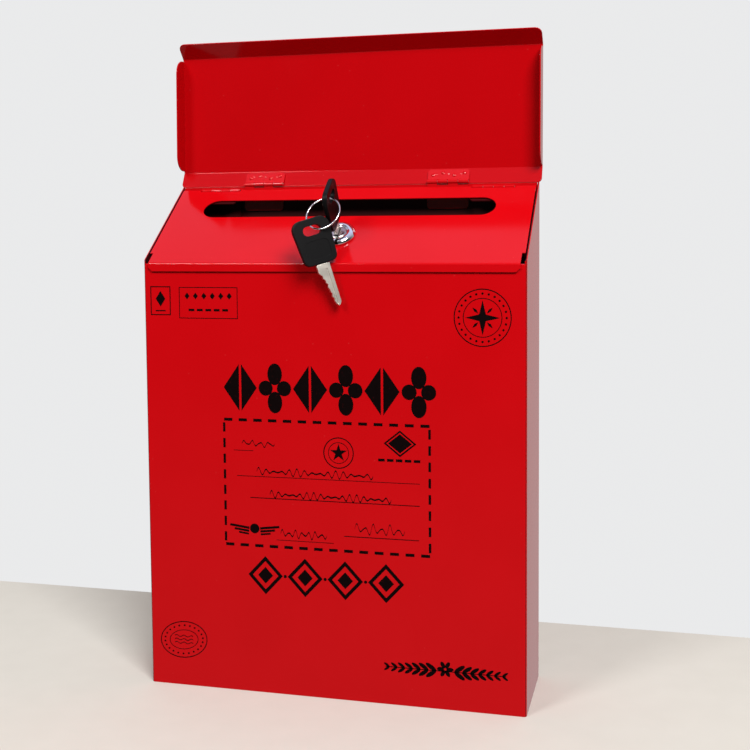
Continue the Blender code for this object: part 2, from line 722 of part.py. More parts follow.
def cam_screw(finish, frames):
    """The pan-head screw that holds the cam on the plug."""
    seat = CAM_TOP - CAM_THICK - GAP
    profile = [
        (0.0, CAM_TOP + SCREW_DEPTH),
        (0.0, seat - SCREW_HEAD),
        (SCREW_HEAD_R - SCREW_EDGE, seat - SCREW_HEAD),
        (SCREW_HEAD_R, seat - SCREW_HEAD + SCREW_EDGE * 0.7),
        (SCREW_HEAD_R, seat),
        (SCREW_R, seat),
        (SCREW_R, CAM_TOP + SCREW_DEPTH),
    ]
    screw = mesh_object("cam_screw", turned(profile, 24), finish, frames["lock"], smooth=True)
    for turn in (0.0, math.pi / 2):
        arm = block((-DRIVE[0], -DRIVE[1], -DRIVE[2]), DRIVE)
        arm.transform(
            Matrix.Translation((0.0, 0.0, seat - SCREW_HEAD)) @ Matrix.Rotation(turn, 4, "Z")
        )
        combine(screw, arm)
    return screw


# ---------------------------------------------------------------- keys
def key_bow(name, parent, finish):
    """A plastic key head in local YZ, its outer end at the hole height above the origin."""
    top = BOW_HOLE_DOWN
    outline = rounded(
        [
            (-BOW_WIDE / 2, top),
            (-BOW_NARROW / 2, top - BOW_LONG),
            (BOW_NARROW / 2, top - BOW_LONG),
            (BOW_WIDE / 2, top),
        ],
        [BOW_CORNER, BOW_CORNER * 0.7, BOW_CORNER * 0.7, BOW_CORNER],
        5,
    )
    shape = prism(outline, -BOW_THICK / 2, BOW_THICK / 2)
    rims = [edge for edge in shape.edges if abs(edge.verts[0].co.x - edge.verts[1].co.x) < 1e-7]
    bmesh.ops.bevel(
        shape, geom=rims, offset=BOW_EDGE, segments=2, profile=0.5, affect="EDGES"
    )
    bow = mesh_object(name, shape, finish, parent, smooth=True)
    hole = stadium((0.0, 0.0), BOW_HOLE[0] / 2, BOW_HOLE[1] / 2, 6)
    combine(bow, prism(hole, -0.01, 0.01))
    across, wide, deep = TANG
    low = (-across / 2 - GAP, -wide / 2 - GAP, top - BOW_LONG - 0.01)
    high = (across / 2 + GAP, wide / 2 + GAP, top - BOW_LONG + deep + GAP)
    return combine(bow, block(low, high))


def key_blade(name, parent, finish):
    """A nickel key blade below the bow, its edge cut in steps and its sides grooved."""
    shoulder = BOW_HOLE_DOWN - BOW_LONG - GAP
    tip = shoulder - BLADE_LONG
    half = BLADE_WIDE / 2
    edge = [(-half, shoulder), (-half, shoulder - BLADE_NECK)]
    for k, depth in enumerate(CUT_DEPTHS):
        at = shoulder - BLADE_NECK - (k + 0.46) * CUT_PITCH
        edge.append((-half + depth, at))
        edge.append((-half + depth, at - CUT_PITCH * 0.45))
    edge.append((-half + BLADE_TIP[0], tip))
    edge.append((half - BLADE_TIP[1], tip))
    edge.append((half, tip + BLADE_TIP[2]))
    edge.append((half, shoulder))
    shape = prism(edge, -BLADE_THICK / 2, BLADE_THICK / 2)
    blade = mesh_object(name, shape, finish, parent)
    thick, wide, deep = TANG
    tang = block((-thick / 2, -wide / 2, shoulder - thick), (thick / 2, wide / 2, shoulder + deep))
    combine(blade, tang, "UNION")
    for side in (-1, 1):
        xs = sorted((side * (BLADE_THICK / 2 - GROOVE[2]), side * BLADE_THICK))
        low = (xs[0], GROOVE[0], tip - BLADE_NECK)
        groove = block(low, (xs[1], GROOVE[1], shoulder - BLADE_NECK * 0.7))
        combine(blade, groove)
    return blade


def ring_shape(centre):
    """A bmesh of the ring, in the local XZ plane round a centre given in that plane."""
    ring = bmesh.new()
    wire = circle((0.0, 0.0), RING_WIRE, 8)
    verts = [ring.verts.new((RING_R + u, 0.0, v)) for u, v in wire]
    loop = [ring.edges.new((v, verts[(i + 1) % len(verts)])) for i, v in enumerate(verts)]
    bmesh.ops.spin(
        ring,
        geom=verts + loop,
        cent=(0.0, 0.0, 0.0),
        axis=(0.0, 0.0, 1.0),
        angle=2 * math.pi,
        steps=48,
        use_merge=True,
    )
    bmesh.ops.remove_doubles(ring, verts=ring.verts, dist=1e-7)
    ring.transform(Matrix.Translation(centre) @ Matrix.Rotation(math.pi / 2, 4, "X"))
    return ring


def spare_frame(centre, frames):
    """The frame of the spare key: its hole rests on the wire near the foot of the ring."""
    foot = Vector((math.sin(SPARE_AT), 0.0, -math.cos(SPARE_AT))) * RING_R
    ring_turn = Matrix.Rotation(RING_YAW, 3, "Z") @ Matrix.Rotation(RING_TILT, 3, "X")
    turn = (
        ring_turn.inverted()
        @ Matrix.Rotation(SPARE_YAW, 3, "Z")
        @ Matrix.Rotation(SPARE_LEAN, 3, "X")
        @ Matrix.Rotation(SPARE_ROLL, 3, "Y")
        @ Matrix.Rotation(-math.pi / 2, 3, "Z")
    )
    axis = frame("spare_axis", centre + foot, 0.0, frames["ring"])
    hung = frame("spare_frame", turn @ -Vector(SPARE_WIRE), 0.0, axis)
    hung.rotation_mode = "QUATERNION"
    hung.rotation_quaternion = turn.to_quaternion()
    return hung


def keys(plastic, nickel, steel, frames):
    """The key in the lock, the ring through its bow and the spare key on the ring."""
    hold = BOW_TIP_N - BOW_HOLE_DOWN
    inserted = frame("key_frame", (0.0, 0.0, hold), 0.0, frames["lock"])
    key_bow("key_bow", inserted, plastic)
    key_blade("key_blade", inserted, nickel)
    centre = Vector((RING_SIDE, 0.0, -math.sqrt(RING_R**2 - RING_SIDE**2)))
    mesh_object("key_ring", ring_shape(centre), steel, frames["ring"], smooth=True)
    hung = spare_frame(centre, frames)
    key_bow("spare_key_bow", hung, plastic)
    key_blade("spare_key_blade", hung, nickel)


def main():
    """Builds the mailbox in its rest pose: door locked, lid open, keys hanging."""
    clear_scene()
    finish = all_materials()
    frames = all_frames()
    body_shell(finish["red_paint"], frames)
    bottom_plate(finish["red_paint_inside"], frames)
    back_panel(finish["red_paint_inside"], frames)
    lid(finish["red_paint_lid"], frames)
    slot_door(finish["red_paint_door"], frames)
    lid_hinges(finish["red_paint_hinge"], finish["pin_steel"], frames)
    door_hinges(finish["red_paint_hinge"], finish["pin_steel"], frames)
    lock_housing(finish["chrome"], frames)
    lock_nut(finish["zinc_nut"], frames)
    lock_plug(finish["plug_nickel"], frames)
    lock_cam(finish["zinc_cam"], frames)
    cam_screw(finish["screw_steel"], frames)
    keys(finish["key_plastic"], finish["key_nickel"], finish["ring_steel"], frames)


main()
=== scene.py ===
"""Looks of the wall mounted mailbox: enamelled sheet, chrome lock, moulded keys, printed ink."""
import json
import logging
import math
from dataclasses import dataclass, field
from enum import Enum
from typing import Callable, Optional, Sequence, Union

import bmesh
import bpy
import numpy as np
from mathutils import Matrix, Vector


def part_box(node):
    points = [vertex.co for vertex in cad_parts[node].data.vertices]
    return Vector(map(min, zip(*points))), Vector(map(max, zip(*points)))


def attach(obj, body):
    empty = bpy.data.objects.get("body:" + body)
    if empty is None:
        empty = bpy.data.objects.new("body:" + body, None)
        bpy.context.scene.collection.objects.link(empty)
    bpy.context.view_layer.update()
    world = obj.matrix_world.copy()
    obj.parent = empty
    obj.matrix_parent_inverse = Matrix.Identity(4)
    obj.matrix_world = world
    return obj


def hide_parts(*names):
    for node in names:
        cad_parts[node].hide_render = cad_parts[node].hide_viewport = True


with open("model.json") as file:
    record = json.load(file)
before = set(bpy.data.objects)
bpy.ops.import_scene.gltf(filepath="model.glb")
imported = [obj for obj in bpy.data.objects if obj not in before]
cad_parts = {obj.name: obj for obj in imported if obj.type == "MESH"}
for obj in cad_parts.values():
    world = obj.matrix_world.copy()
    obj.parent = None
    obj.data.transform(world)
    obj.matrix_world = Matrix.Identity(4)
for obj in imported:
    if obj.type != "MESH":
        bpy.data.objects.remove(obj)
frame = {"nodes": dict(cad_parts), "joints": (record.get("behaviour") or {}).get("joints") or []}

LOG = logging.getLogger("mailbox")
MM = 0.001
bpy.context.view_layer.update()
HALF_SHEET = 0.4 * MM
# below this height the faces deep inside the box get painted shade
SHADE_TOP = 0.1492
BAND_TURN = 62.7
ACROSS = Vector((1.0, 0.0, 0.0))

Piece = bpy.types.Object
Number = Union[int, float]
Point = tuple[float, float, float]
Colour = tuple[float, float, float]
EVEN: Point = (1.0, 1.0, 1.0)


# ---- shader expressions
class Value:
    """A shader socket that can be used in Python arithmetic."""

    def __init__(self, graph: "Graph", socket: bpy.types.NodeSocket) -> None:
        """Wraps an output socket of a graph."""
        self.graph = graph
        self.socket = socket

    def __add__(self, other: "Term") -> "Value":
        """Self plus other."""
        return self.graph.math("ADD", self, other)

    def __radd__(self, other: "Term") -> "Value":
        """Other plus self."""
        return self.graph.math("ADD", other, self)

    def __sub__(self, other: "Term") -> "Value":
        """Self minus other."""
        return self.graph.math("SUBTRACT", self, other)

    def __rsub__(self, other: "Term") -> "Value":
        """Other minus self."""
        return self.graph.math("SUBTRACT", other, self)

    def __mul__(self, other: "Term") -> "Value":
        """Self times other."""
        return self.graph.math("MULTIPLY", self, other)

    def __rmul__(self, other: "Term") -> "Value":
        """Other times self."""
        return self.graph.math("MULTIPLY", other, self)

    def below(self, level: "Term") -> "Value":
        """One where self is less than the level, zero elsewhere."""
        return self.graph.math("LESS_THAN", self, level)

    def above(self, level: "Term") -> "Value":
        """One where self is more than the level, zero elsewhere."""
        return self.graph.math("GREATER_THAN", self, level)

    def ramp(self, low: float, high: float) -> "Value":
        """Zero below low, one above high, smooth between.

        Args:
            low: Where the rise starts.
            high: Where it ends.

        Returns:
            The smooth step of this value.
        """
        inputs = {"Value": self, "From Min": low, "From Max": high}
        smooth = {"interpolation_type": "SMOOTHSTEP"}
        return self.graph.node("ShaderNodeMapRange", smooth, inputs, "Result")


Term = Union[Value, Number]


class Graph:
    """The node tree of one material or world, built from expressions."""

    def __init__(self, tree: bpy.types.NodeTree) -> None:
        """Empties a tree and starts a graph in it."""
        self.tree = tree
        tree.nodes.clear()

    def node(
        self, kind: str, settings: Optional[dict] = None, inputs: Optional[dict] = None,
        output: Union[str, int] = 0,
    ) -> Value:
        """Adds any node.

        Args:
            kind: The node's type name.
            settings: Its own properties, set before its sockets.
            inputs: Values or links of its sockets, by name or number.
            output: The output socket that is wanted.

        Returns:
            That output.
        """
        made = self.tree.nodes.new(kind)
        for name, value in (settings or {}).items():
            setattr(made, name, value)
        for name, value in (inputs or {}).items():
            if isinstance(value, Value):
                self.tree.links.new(value.socket, made.inputs[name])
            else:
                made.inputs[name].default_value = value
        return Value(self, made.outputs[output])

    def close(self, kind: str, shader: Value) -> None:
        """Links a shader to an output node of that type."""
        end = self.tree.nodes.new(kind)
        self.tree.links.new(shader.socket, end.inputs["Surface"])

    def math(self, operation: str, first: Term, second: Term = 0.0) -> Value:
        """The result of one Math node."""
        return self.node("ShaderNodeMath", {"operation": operation}, {0: first, 1: second})

    def mix(self, factor: Term, first: Union[Value, Colour], second: Union[Value, Colour]) -> Value:
        """Mixes two colours.

        Args:
            factor: Zero for the first, one for the second.
            first: A colour.
            second: A colour.

        Returns:
            The mixed colour.
        """
        sides = [side if isinstance(side, Value) else (*side, 1.0) for side in (first, second)]
        inputs = {0: factor, 6: sides[0], 7: sides[1]}
        return self.node("ShaderNodeMix", {"data_type": "RGBA"}, inputs, 2)

    def place(self, stretch: Point = EVEN) -> Value:
        """Object coordinates in metres, each axis multiplied.

        Args:
            stretch: Factors on the axes.

        Returns:
            The coordinates.
        """
        raw = self.node("ShaderNodeTexCoord", output="Object")
        if stretch == EVEN:
            return raw
        return self.node("ShaderNodeVectorMath", {"operation": "MULTIPLY"}, {0: raw, 1: stretch})

    def split(self, vector: Value) -> tuple[Value, Value, Value]:
        """The three parts of a vector."""
        parts = self.node("ShaderNodeSeparateXYZ", inputs={0: vector}).socket.node
        return tuple(Value(self, parts.outputs[axis]) for axis in range(3))

    def noise(self, per_metre: float, detail: float = 2.0, stretch: Point = EVEN) -> Value:
        """Cloudy noise from zero to one, with so many features in a metre and so many octaves."""
        inputs = {"Vector": self.place(stretch), "Scale": per_metre, "Detail": detail}
        return self.node("ShaderNodeTexNoise", inputs=inputs, output=0)

    def specks(self, per_metre: float, size: float) -> Value:
        """One at scattered small spots, zero elsewhere.

        Args:
            per_metre: Cells in a metre.
            size: Radius of a spot, as a part of its cell.

        Returns:
            The mask.
        """
        inputs = {"Vector": self.place(), "Scale": per_metre}
        away = self.node("ShaderNodeTexVoronoi", inputs=inputs, output="Distance")
        return 1.0 - away.ramp(size * 0.6, size)

    def bump(self, height: Value, depth: float, under: Optional[Value] = None) -> Value:
        """A Bump node.

        Args:
            height: Zero to one.
            depth: Metres between zero and one.
            under: A normal to start from.

        Returns:
            The bent normal.
        """
        inputs = {"Height": height, "Distance": depth, "Strength": 1.0}
        if under is not None:
            inputs["Normal"] = under
        return self.node("ShaderNodeBump", inputs=inputs)

    def principled(self, **inputs: Union[Value, Number, tuple]) -> None:
        """Adds the Principled shader and the material output.

        Args:
            inputs: Values of its sockets, by name with _ for a space.
        """
        named = {name.replace("_", " "): value for name, value in inputs.items()}
        shader = self.node("ShaderNodeBsdfPrincipled", inputs=named)
        self.close("ShaderNodeOutputMaterial", shader)


def joint_line(name: str) -> tuple[Vector, Vector]:
    """A point on a joint's axis and the axis, from the record."""
    row = next(row for row in frame["joints"] if row["name"] == name)
    return Vector(row["pos_m"]), Vector(row["axis"]).normalized()


def span(points: Sequence[Vector], axis: Vector) -> tuple[float, float]:
    """The lowest and the highest place of points along an axis."""
    levels = [point.dot(axis) for point in points]
    return min(levels), max(levels)


def frame_of(across: Vector, along: Vector, out: Vector, at: Sequence[float]) -> Matrix:
    """The placing of a piece modelled with these three axes as its X, Y and Z."""
    return Matrix.Translation(at) @ Matrix((across, along, out)).transposed().to_4x4()


# ---- finishes
def blank(name: str) -> tuple[bpy.types.Material, Graph]:
    """A new material and its empty graph.

    Args:
        name: Its name.

    Returns:
        The material and the graph.
    """
    made = bpy.data.materials.new(name)
    made.use_nodes = True
    return made, Graph(made.node_tree)


@dataclass(frozen=True)
class Enamel:
    """Sprayed and baked gloss enamel on sheet steel, with painted shade (a near black red) on the
    faces inside the box that a mask picks.
    """

    name: str
    colour: Colour = (0.600, 0.0018, 0.0045)
    deep: Colour = (0.560, 0.0012, 0.0032)
    # painted shade: a near black red that stands in for the shade inside the box
    painted_shade_colour: Colour = (0.050, 0.0012, 0.0018)
    gloss: float = 0.095
    peel: float = 1.3e-6
    waviness: float = 55e-6
    sheen: float = 0.22
    painted_shade_mask: Optional[Callable[["Graph"], "Value"]] = None

    def make(self) -> bpy.types.Material:
        """Builds the material: clouded red, orange peel, slow waves, a few dust nibs, and painted
        shade inside the box where a mask is given.

        Returns:
            The material.
        """
        made, graph = blank(self.name)
        cloud = graph.noise(22.0, 3.0).ramp(0.30, 0.72)
        grain = graph.noise(900.0, 3.0)
        nibs = graph.specks(120.0, 0.045)
        colour = graph.mix(cloud * 0.55 + grain * 0.20, self.colour, self.deep)
        colour = graph.mix(nibs * 0.30, colour, (0.72, 0.060, 0.060))
        smudge = graph.noise(34.0, 4.0, (1.0, 1.0, 0.55)).ramp(0.46, 0.78)
        rough = self.gloss + smudge * 0.05 + grain * 0.02
        # painted shade: the masked faces inside the box turn near black and rougher, because little
        # light reaches them
        if self.painted_shade_mask is not None:
            inner = self.painted_shade_mask(graph)
            colour = graph.mix(inner, colour, self.painted_shade_colour)
            rough = rough + inner * 0.35
        wave = graph.bump(graph.noise(13.0, 1.0), self.waviness)
        peel = graph.bump(graph.noise(520.0, 2.0) * 0.8 + nibs * 2.0, self.peel, wave)
        graph.principled(
            Base_Color=colour, Roughness=rough, Normal=peel, Specular_IOR_Level=self.sheen
        )
        return made


def painted_shade_inside_box(graph: Graph) -> Value:
    """One on the inner faces of the folded box, which get painted shade.

    Args:
        graph: The material's graph.

    Returns:
        The mask.
    """
    low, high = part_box("body_shell")
    x, y, _ = graph.split(graph.place())
    return graph.math("ABSOLUTE", x).below(high.x - HALF_SHEET) * y.above(low.y + HALF_SHEET)


def painted_shade_deep_inside(graph: Graph) -> Value:
    """One on the parts of the back, bottom and hinges that are deep inside the box, which get
    painted shade.

    Args:
        graph: The material's graph.

    Returns:
        The mask.
    """
    low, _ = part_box("body_shell")
    _, y, z = graph.split(graph.place())
    return y.below(-HALF_SHEET) * z.below(SHADE_TOP) * z.above(low.z + HALF_SHEET)


def painted_shade_under_door(graph: Graph) -> Value:
    """One on the under side of the sloping door, which gets painted shade.

    Args:
        graph: The material's graph.

    Returns:
        The mask.
    """
    at, out = joint_line("lock_turn")
    _, y, z = graph.split(graph.place())
    depth = y * out.y + z * out.z
    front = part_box("body_shell")[0].y - HALF_SHEET / 2
    return depth.below(at.dot(out) - HALF_SHEET) * y.above(front)


@dataclass(frozen=True)
class Plating:
    """Bright plating or bare bright metal."""

    name: str
    colour: Colour
    gloss: float
    worn: float = 0.10
    lines: Point = EVEN
    line_count: float = 700.0
    line_depth: float = 2.5e-6

    def make(self) -> bpy.types.Material:
        """Builds the material: fine lines along one way, dull patches where it is handled.

        Returns:
            The material.
        """
        made, graph = blank(self.name)
        lines = graph.noise(self.line_count, 3.0, self.lines)
        patch = graph.noise(260.0, 4.0).ramp(0.42, 0.75)
        dull = tuple(part * 0.72 for part in self.colour)
        colour = graph.mix(patch * self.worn * 2.0 + lines * 0.08, self.colour, dull)
        rough = self.gloss + patch * self.worn + lines * 0.05
        normal = graph.bump(lines, self.line_depth)
        graph.principled(Base_Color=colour, Roughness=rough, Normal=normal, Metallic=1.0)
        return made


@dataclass(frozen=True)
class Moulded:
    """Moulded black plastic with a fine spark-eroded grain."""

    name: str
    colour: Colour = (0.0028, 0.0026, 0.0028)
    gloss: float = 0.38

    def make(self) -> bpy.types.Material:
        """Builds the material: fine grain, rubbed and greyed in patches.

        Returns:
            The material.
        """
        made, graph = blank(self.name)
        grain = graph.noise(3200.0, 2.0)
        rub = graph.noise(300.0, 4.0).ramp(0.50, 0.74)
        colour = graph.mix(rub * 0.5, self.colour, (0.0075, 0.0070, 0.0072))
        rough = self.gloss + grain * 0.10 - rub * 0.08
        normal = graph.bump(grain, 7e-6)
        graph.principled(
            Base_Color=colour, Roughness=rough, Normal=normal, Specular_IOR_Level=0.15
        )
        return made


@dataclass(frozen=True)
class Ink:
    """Screen printing ink, slightly uneven, on the enamel."""

    name: str
    colour: Colour = (0.0034, 0.0010, 0.0011)

    def make(self) -> bpy.types.Material:
        """Builds the material: near black, a little of the red where the ink is thin.

        Returns:
            The material.
        """
        made, graph = blank(self.name)
        thin = graph.noise(700.0, 4.0).ramp(0.60, 0.86)
        colour = graph.mix(thin * 0.35, self.colour, (0.085, 0.002, 0.004))
        rough = 0.34 + graph.noise(420.0, 3.0) * 0.16
        normal = graph.bump(graph.noise(1500.0, 2.0), 3e-6)
        graph.principled(
            Base_Color=colour, Roughness=rough, Normal=normal, Specular_IOR_Level=0.07
        )
        return made


class Finishes:
    """Every finish of the mailbox, made once."""

    def __init__(self) -> None:
        """Makes the materials."""
        along_z = (1.0, 1.0, 0.08)
        # the shell, door and inside enamels carry painted shade on their inner faces through their
        # masks
        self.shell = Enamel("enamel_shell", painted_shade_mask=painted_shade_inside_box).make()
        # painted shade: the lid's red is darker than the shell's red, standing in for the light its
        # inner face misses
        self.lid = Enamel("enamel_lid_painted_shade", (0.490, 0.0012, 0.0034), (0.460, 0.0010, 0.0028)).make()
        self.door = Enamel("enamel_door", (0.610, 0.0020, 0.0050), painted_shade_mask=painted_shade_under_door).make()
        # painted shade: the back, bottom and door hinge leaves deep inside the box turn near black
        self.inside = Enamel("enamel_painted_shade_inside", painted_shade_mask=painted_shade_deep_inside).make()
        self.hinge = Enamel("enamel_hinge", gloss=0.09, peel=8e-6, waviness=90e-6, sheen=0.5).make()
        self.chrome = Plating(
            "chrome_plate", (0.88, 0.89, 0.90), 0.06, 0.04, line_depth=0.8e-6
        ).make()
        self.plug = Plating("nickel_plug", (0.62, 0.61, 0.58), 0.18).make()
        self.key = Plating(
            "nickel_key", (0.76, 0.70, 0.61), 0.32, 0.06, along_z, 900.0, 3e-6
        ).make()
        self.ring = Plating("bright_wire", (0.93, 0.92, 0.90), 0.13, 0.05).make()
        self.zinc = Plating("zinc_plate", (0.56, 0.57, 0.59), 0.30, 0.18).make()
        self.pin = Plating("drawn_pin", (0.44, 0.42, 0.40), 0.28, 0.20, (0.05, 1.0, 1.0)).make()
        self.plastic = Moulded("key_plastic").make()
        self.ink = Ink("print_ink").make()


# ---- bench work
class Pick(Enum):
    """What a selection is made of."""

    POINTS = "VERT"
    FACES = "FACE"


class Bench:
    """The modelling steps that every piece goes through."""

    @staticmethod
    def start(
        add: Callable[..., object], stretch: Sequence[float] = EVEN, **settings: object
    ) -> Piece:
        """Adds a primitive, with its place, turn and size moved into its mesh.

        Args:
            add: The operator that adds it.
            stretch: Factors on its axes.
            settings: The operator's own settings.

        Returns:
            The new object.
        """
        bpy.ops.object.select_all(action="DESELECT")
        add(**settings)
        bpy.context.active_object.scale = stretch
        bpy.ops.object.transform_apply(location=True, rotation=True, scale=True)
        return bpy.context.active_object

    @staticmethod
    def pick(*objects: Piece) -> Piece:
        """Selects only these objects and makes the last one active.

        Args:
            objects: The objects.

        Returns:
            The last one.
        """
        bpy.ops.object.select_all(action="DESELECT")
        for obj in objects:
            obj.select_set(True)
        bpy.context.view_layer.objects.active = objects[-1]
        return objects[-1]

    @staticmethod
    def edit(obj: Piece, *steps: Callable[[], object]) -> None:
        """Runs steps in edit mode with the whole mesh selected.

        Args:
            obj: The object to work on.
            steps: Functions without arguments, in order.
        """
        Bench.pick(obj)
        bpy.ops.object.mode_set(mode="EDIT")
        bpy.ops.mesh.select_mode(type=Pick.POINTS.value)
        bpy.ops.mesh.select_all(action="SELECT")
        for step in steps:
            step()
        bpy.ops.object.mode_set(mode="OBJECT")

    @staticmethod
    def choose(obj: Piece, kind: "Pick", test: Callable[[object], bool]) -> None:
        """In edit mode, selects only the points or faces that pass a test.

        Args:
            obj: The object in edit mode.
            kind: Points or faces.
            test: The test of a point or a face.
        """
        bpy.ops.mesh.select_mode(type=kind.value)
        mesh = bmesh.from_edit_mesh(obj.data)
        for part in (*mesh.verts, *mesh.edges, *mesh.faces):
            part.select = False
        for part in mesh.verts if kind is Pick.POINTS else mesh.faces:
            if test(part):
                part.select_set(True)
        bmesh.update_edit_mesh(obj.data)

    @staticmethod
    def modify(obj: Piece, kind: str, **settings: object) -> None:
        """Adds a modifier and applies it.

        Args:
            obj: The object.
            kind: The modifier's type.
            settings: Its properties.
        """
        Bench.pick(obj)
        step = obj.modifiers.new(kind.title(), kind)
        for name, value in settings.items():
            setattr(step, name, value)
        bpy.ops.object.modifier_apply(modifier=step.name)

    @staticmethod
    def ease(obj: Piece, width: float, degrees: float) -> None:
        """Bevels the edges that are sharper than an angle."""
        Bench.modify(
            obj, "BEVEL", width=width, segments=2, limit_method="ANGLE",
            angle_limit=math.radians(degrees), use_clamp_overlap=True,
        )

    @staticmethod
    def smooth(obj: Piece, degrees: float = 32.0) -> None:
        """Shades smooth over edges flatter than an angle."""
        Bench.pick(obj)
        bpy.ops.object.shade_smooth_by_angle(angle=math.radians(degrees))

    @staticmethod
    def flatten(obj: Piece, degrees: float = 40.0) -> None:
        """Shades smooth, with the broad faces kept flat up to their eased edges."""
        Bench.smooth(obj, degrees)
        Bench.modify(obj, "WEIGHTED_NORMAL", keep_sharp=True, weight=100)

    @staticmethod
    def outward(obj: Piece) -> None:
        """Merges doubles and turns every face outward."""
        Bench.edit(
            obj,
            lambda: bpy.ops.mesh.remove_doubles(threshold=1e-6),
            Bench.face_out,
        )

    @staticmethod
    def face_out() -> None:
        """In edit mode, turns the chosen faces outward."""
        bpy.ops.mesh.normals_make_consistent(inside=False)

    @staticmethod
    def join(parts: Sequence[Piece], name: str) -> Piece:
        """Joins parts into one object of that name.

        Args:
            parts: The objects.
            name: The name.

        Returns:
            The joined object.
        """
        whole = Bench.pick(*parts)
        bpy.ops.object.join()
        whole.name = whole.data.name = name
        return whole


def finish_piece(
    piece: Piece, material: bpy.types.Material, body: str, slot: str, *stands_for: str
) -> None:
    """Dresses a piece and fixes it to its body.

    Args:
        piece: The finished object.
        material: Its finish.
        body: The body that it rides on.
        slot: The record's material slot; not used.
        stands_for: The CAD nodes that it replaces.
    """
    piece.data.materials.clear()
    piece.data.materials.append(material)
    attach(piece, body)
    if stands_for:
        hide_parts(*stands_for)
    LOG.info("%s rides on %s, %d faces", piece.name, body, len(piece.data.polygons))


def dress(node: str, material: bpy.types.Material) -> None:
    """Gives a CAD node that is kept its finish.

    Args:
        node: The node.
        material: Its finish.
    """
    obj = frame["nodes"][node]
    for slot in obj.material_slots:
        slot.material = material
    LOG.info("%s keeps its shape", node)


def eased_copy(
    node: str, name: str, edge: float, reshape: Optional[Callable[[Piece], None]] = None
) -> Piece:
    """A copy of a CAD node with clean faces and eased edges.

    Args:
        node: The CAD node.
        name: Name of the copy.
        edge: Width of the easing, in metres.
        reshape: A change of shape made before the easing.

    Returns:
        The copy.
    """
    piece = bpy.data.objects.new(name, frame["nodes"][node].data.copy())
    piece.data.name = name
    bpy.context.scene.collection.objects.link(piece)
    Bench.edit(
        piece,
        lambda: bpy.ops.mesh.remove_doubles(threshold=2e-6),
        lambda: bpy.ops.mesh.dissolve_limited(angle_limit=math.radians(0.4)),
    )
    if reshape is not None:
        reshape(piece)
    Bench.ease(piece, edge, 35.0)
    Bench.flatten(piece)
    return piece


class Side(Enum):
    """The two sides of the box."""

    LEFT = "left"
    RIGHT = "right"


def lid_band() -> tuple[Vector, Vector]:
    """The axis of the lid hinge, and the way that the lid's rear band rises from it.

    Returns:
        A point on the axis and the direction.
    """
    pin, _ = joint_line("lid_hinge")
    turn = math.radians(BAND_TURN)
    return pin, Vector((0.0, math.cos(turn), math.sin(turn)))


# ---- sheet metal
@dataclass
class SheetWork:
    """The folded sheets: box, lid and door."""

    finishes: Finishes
    edge: float = 0.22 * MM
    band_end: float = 3.4 * MM
    band_more: float = 1.10 * MM

    def lower_band(self, piece: Piece) -> None:
        """Brings the lid's rear edge down close to the box, so that no light shows between.

        Args:
            piece: The lid.
        """
        pin, along = lid_band()
        Bench.edit(
            piece,
            lambda: Bench.choose(
                piece, Pick.POINTS, lambda vert: (vert.co - pin).dot(along) < self.band_end
            ),
            lambda: bpy.ops.transform.translate(value=along * -self.band_more),
        )

    def build(self) -> None:
        """Makes the visible sheets and dresses the hidden ones."""
        looks = self.finishes
        for node, name, body, slot, look, reshape in (
            ("body_shell", "box_skin", "box", "red_paint", looks.shell, None),
            ("lid", "rain_lid_skin", "rain_lid", "red_paint_lid", looks.lid, self.lower_band),
            ("slot_door", "slot_door_skin", "door", "red_paint_door", looks.door, None),
        ):
            finish_piece(eased_copy(node, name, self.edge, reshape), look, body, slot, node)
        # painted shade: back panel and bottom plate take the near black inside enamel
        for node in ("back_panel", "bottom_plate"):
            dress(node, self.finishes.inside)


@dataclass
class HingeWork:
    """Four butt hinges, painted over with the sheets."""

    finishes: Finishes
    edge: float = 0.10 * MM
    rivet: float = 1.15 * MM
    crown: float = 0.55 * MM
    band_edge: float = 4.0 * MM
    rivets: tuple[tuple[float, float], ...] = ((-9.0, 4.6), (-3.2, 6.0), (3.4, 4.4), (9.2, 5.8))

    def rivet_heads(self, leaf: Piece) -> list[Piece]:
        """The low domed heads on a leaf's face, modelled once and copied.

        Args:
            leaf: The finished leaf.

        Returns:
            The heads, on the leaf's outer face.
        """
        pin, along = lid_band()
        out = ACROSS.cross(along)
        points = [vert.co for vert in leaf.data.vertices]
        points = [point for point in points if (point - pin).dot(along) > self.band_edge]
        face = max((point - pin).dot(out) for point in points)
        middle = sum(point.x for point in points) / len(points)
        first = Bench.start(
            bpy.ops.mesh.primitive_uv_sphere_add, (1.0, 1.0, self.crown / self.rivet),
            segments=20, ring_count=12, radius=self.rivet,
        )
        Bench.edit(
            first,
            lambda: bpy.ops.mesh.bisect(
                plane_co=(0.0, 0.0, -0.1 * MM), plane_no=(0.0, 0.0, 1.0), clear_inner=True,
                use_fill=True,
            ),
        )
        heads = []
        for x, reach in self.rivets:
            head = bpy.data.objects.new("rivet", first.data.copy())
            bpy.context.scene.collection.objects.link(head)
            at = pin + along * reach * MM + out * face
            at.x = middle + x * MM
            head.data.transform(frame_of(ACROSS, along, out, at))
            heads.append(head)
        bpy.data.objects.remove(first)
        return heads

    def build(self) -> None:
        """Eases the leaves that show, rivets them and dresses the rest."""
        looks = self.finishes
        for side in Side:
            word = side.value
            node = f"lid_hinge_lid_leaf_{word}"
            leaf = eased_copy(node, f"hinge_leaf_{word}", self.edge)
            piece = Bench.join([*self.rivet_heads(leaf), leaf], f"hinge_leaf_{word}")
            Bench.smooth(piece, 40.0)
            finish_piece(piece, looks.hinge, "rain_lid", "red_paint_hinge", node)
            # painted shade: the door hinge leaves inside the box take the near black inside enamel
            for hidden, look in (
                ("lid_hinge_wall_leaf", looks.hinge), ("door_hinge_wall_leaf", looks.inside),
                ("door_hinge_door_leaf", looks.inside), ("lid_hinge_pin", looks.pin),
                ("door_hinge_pin", looks.pin),
            ):
                dress(f"{hidden}_{word}", look)


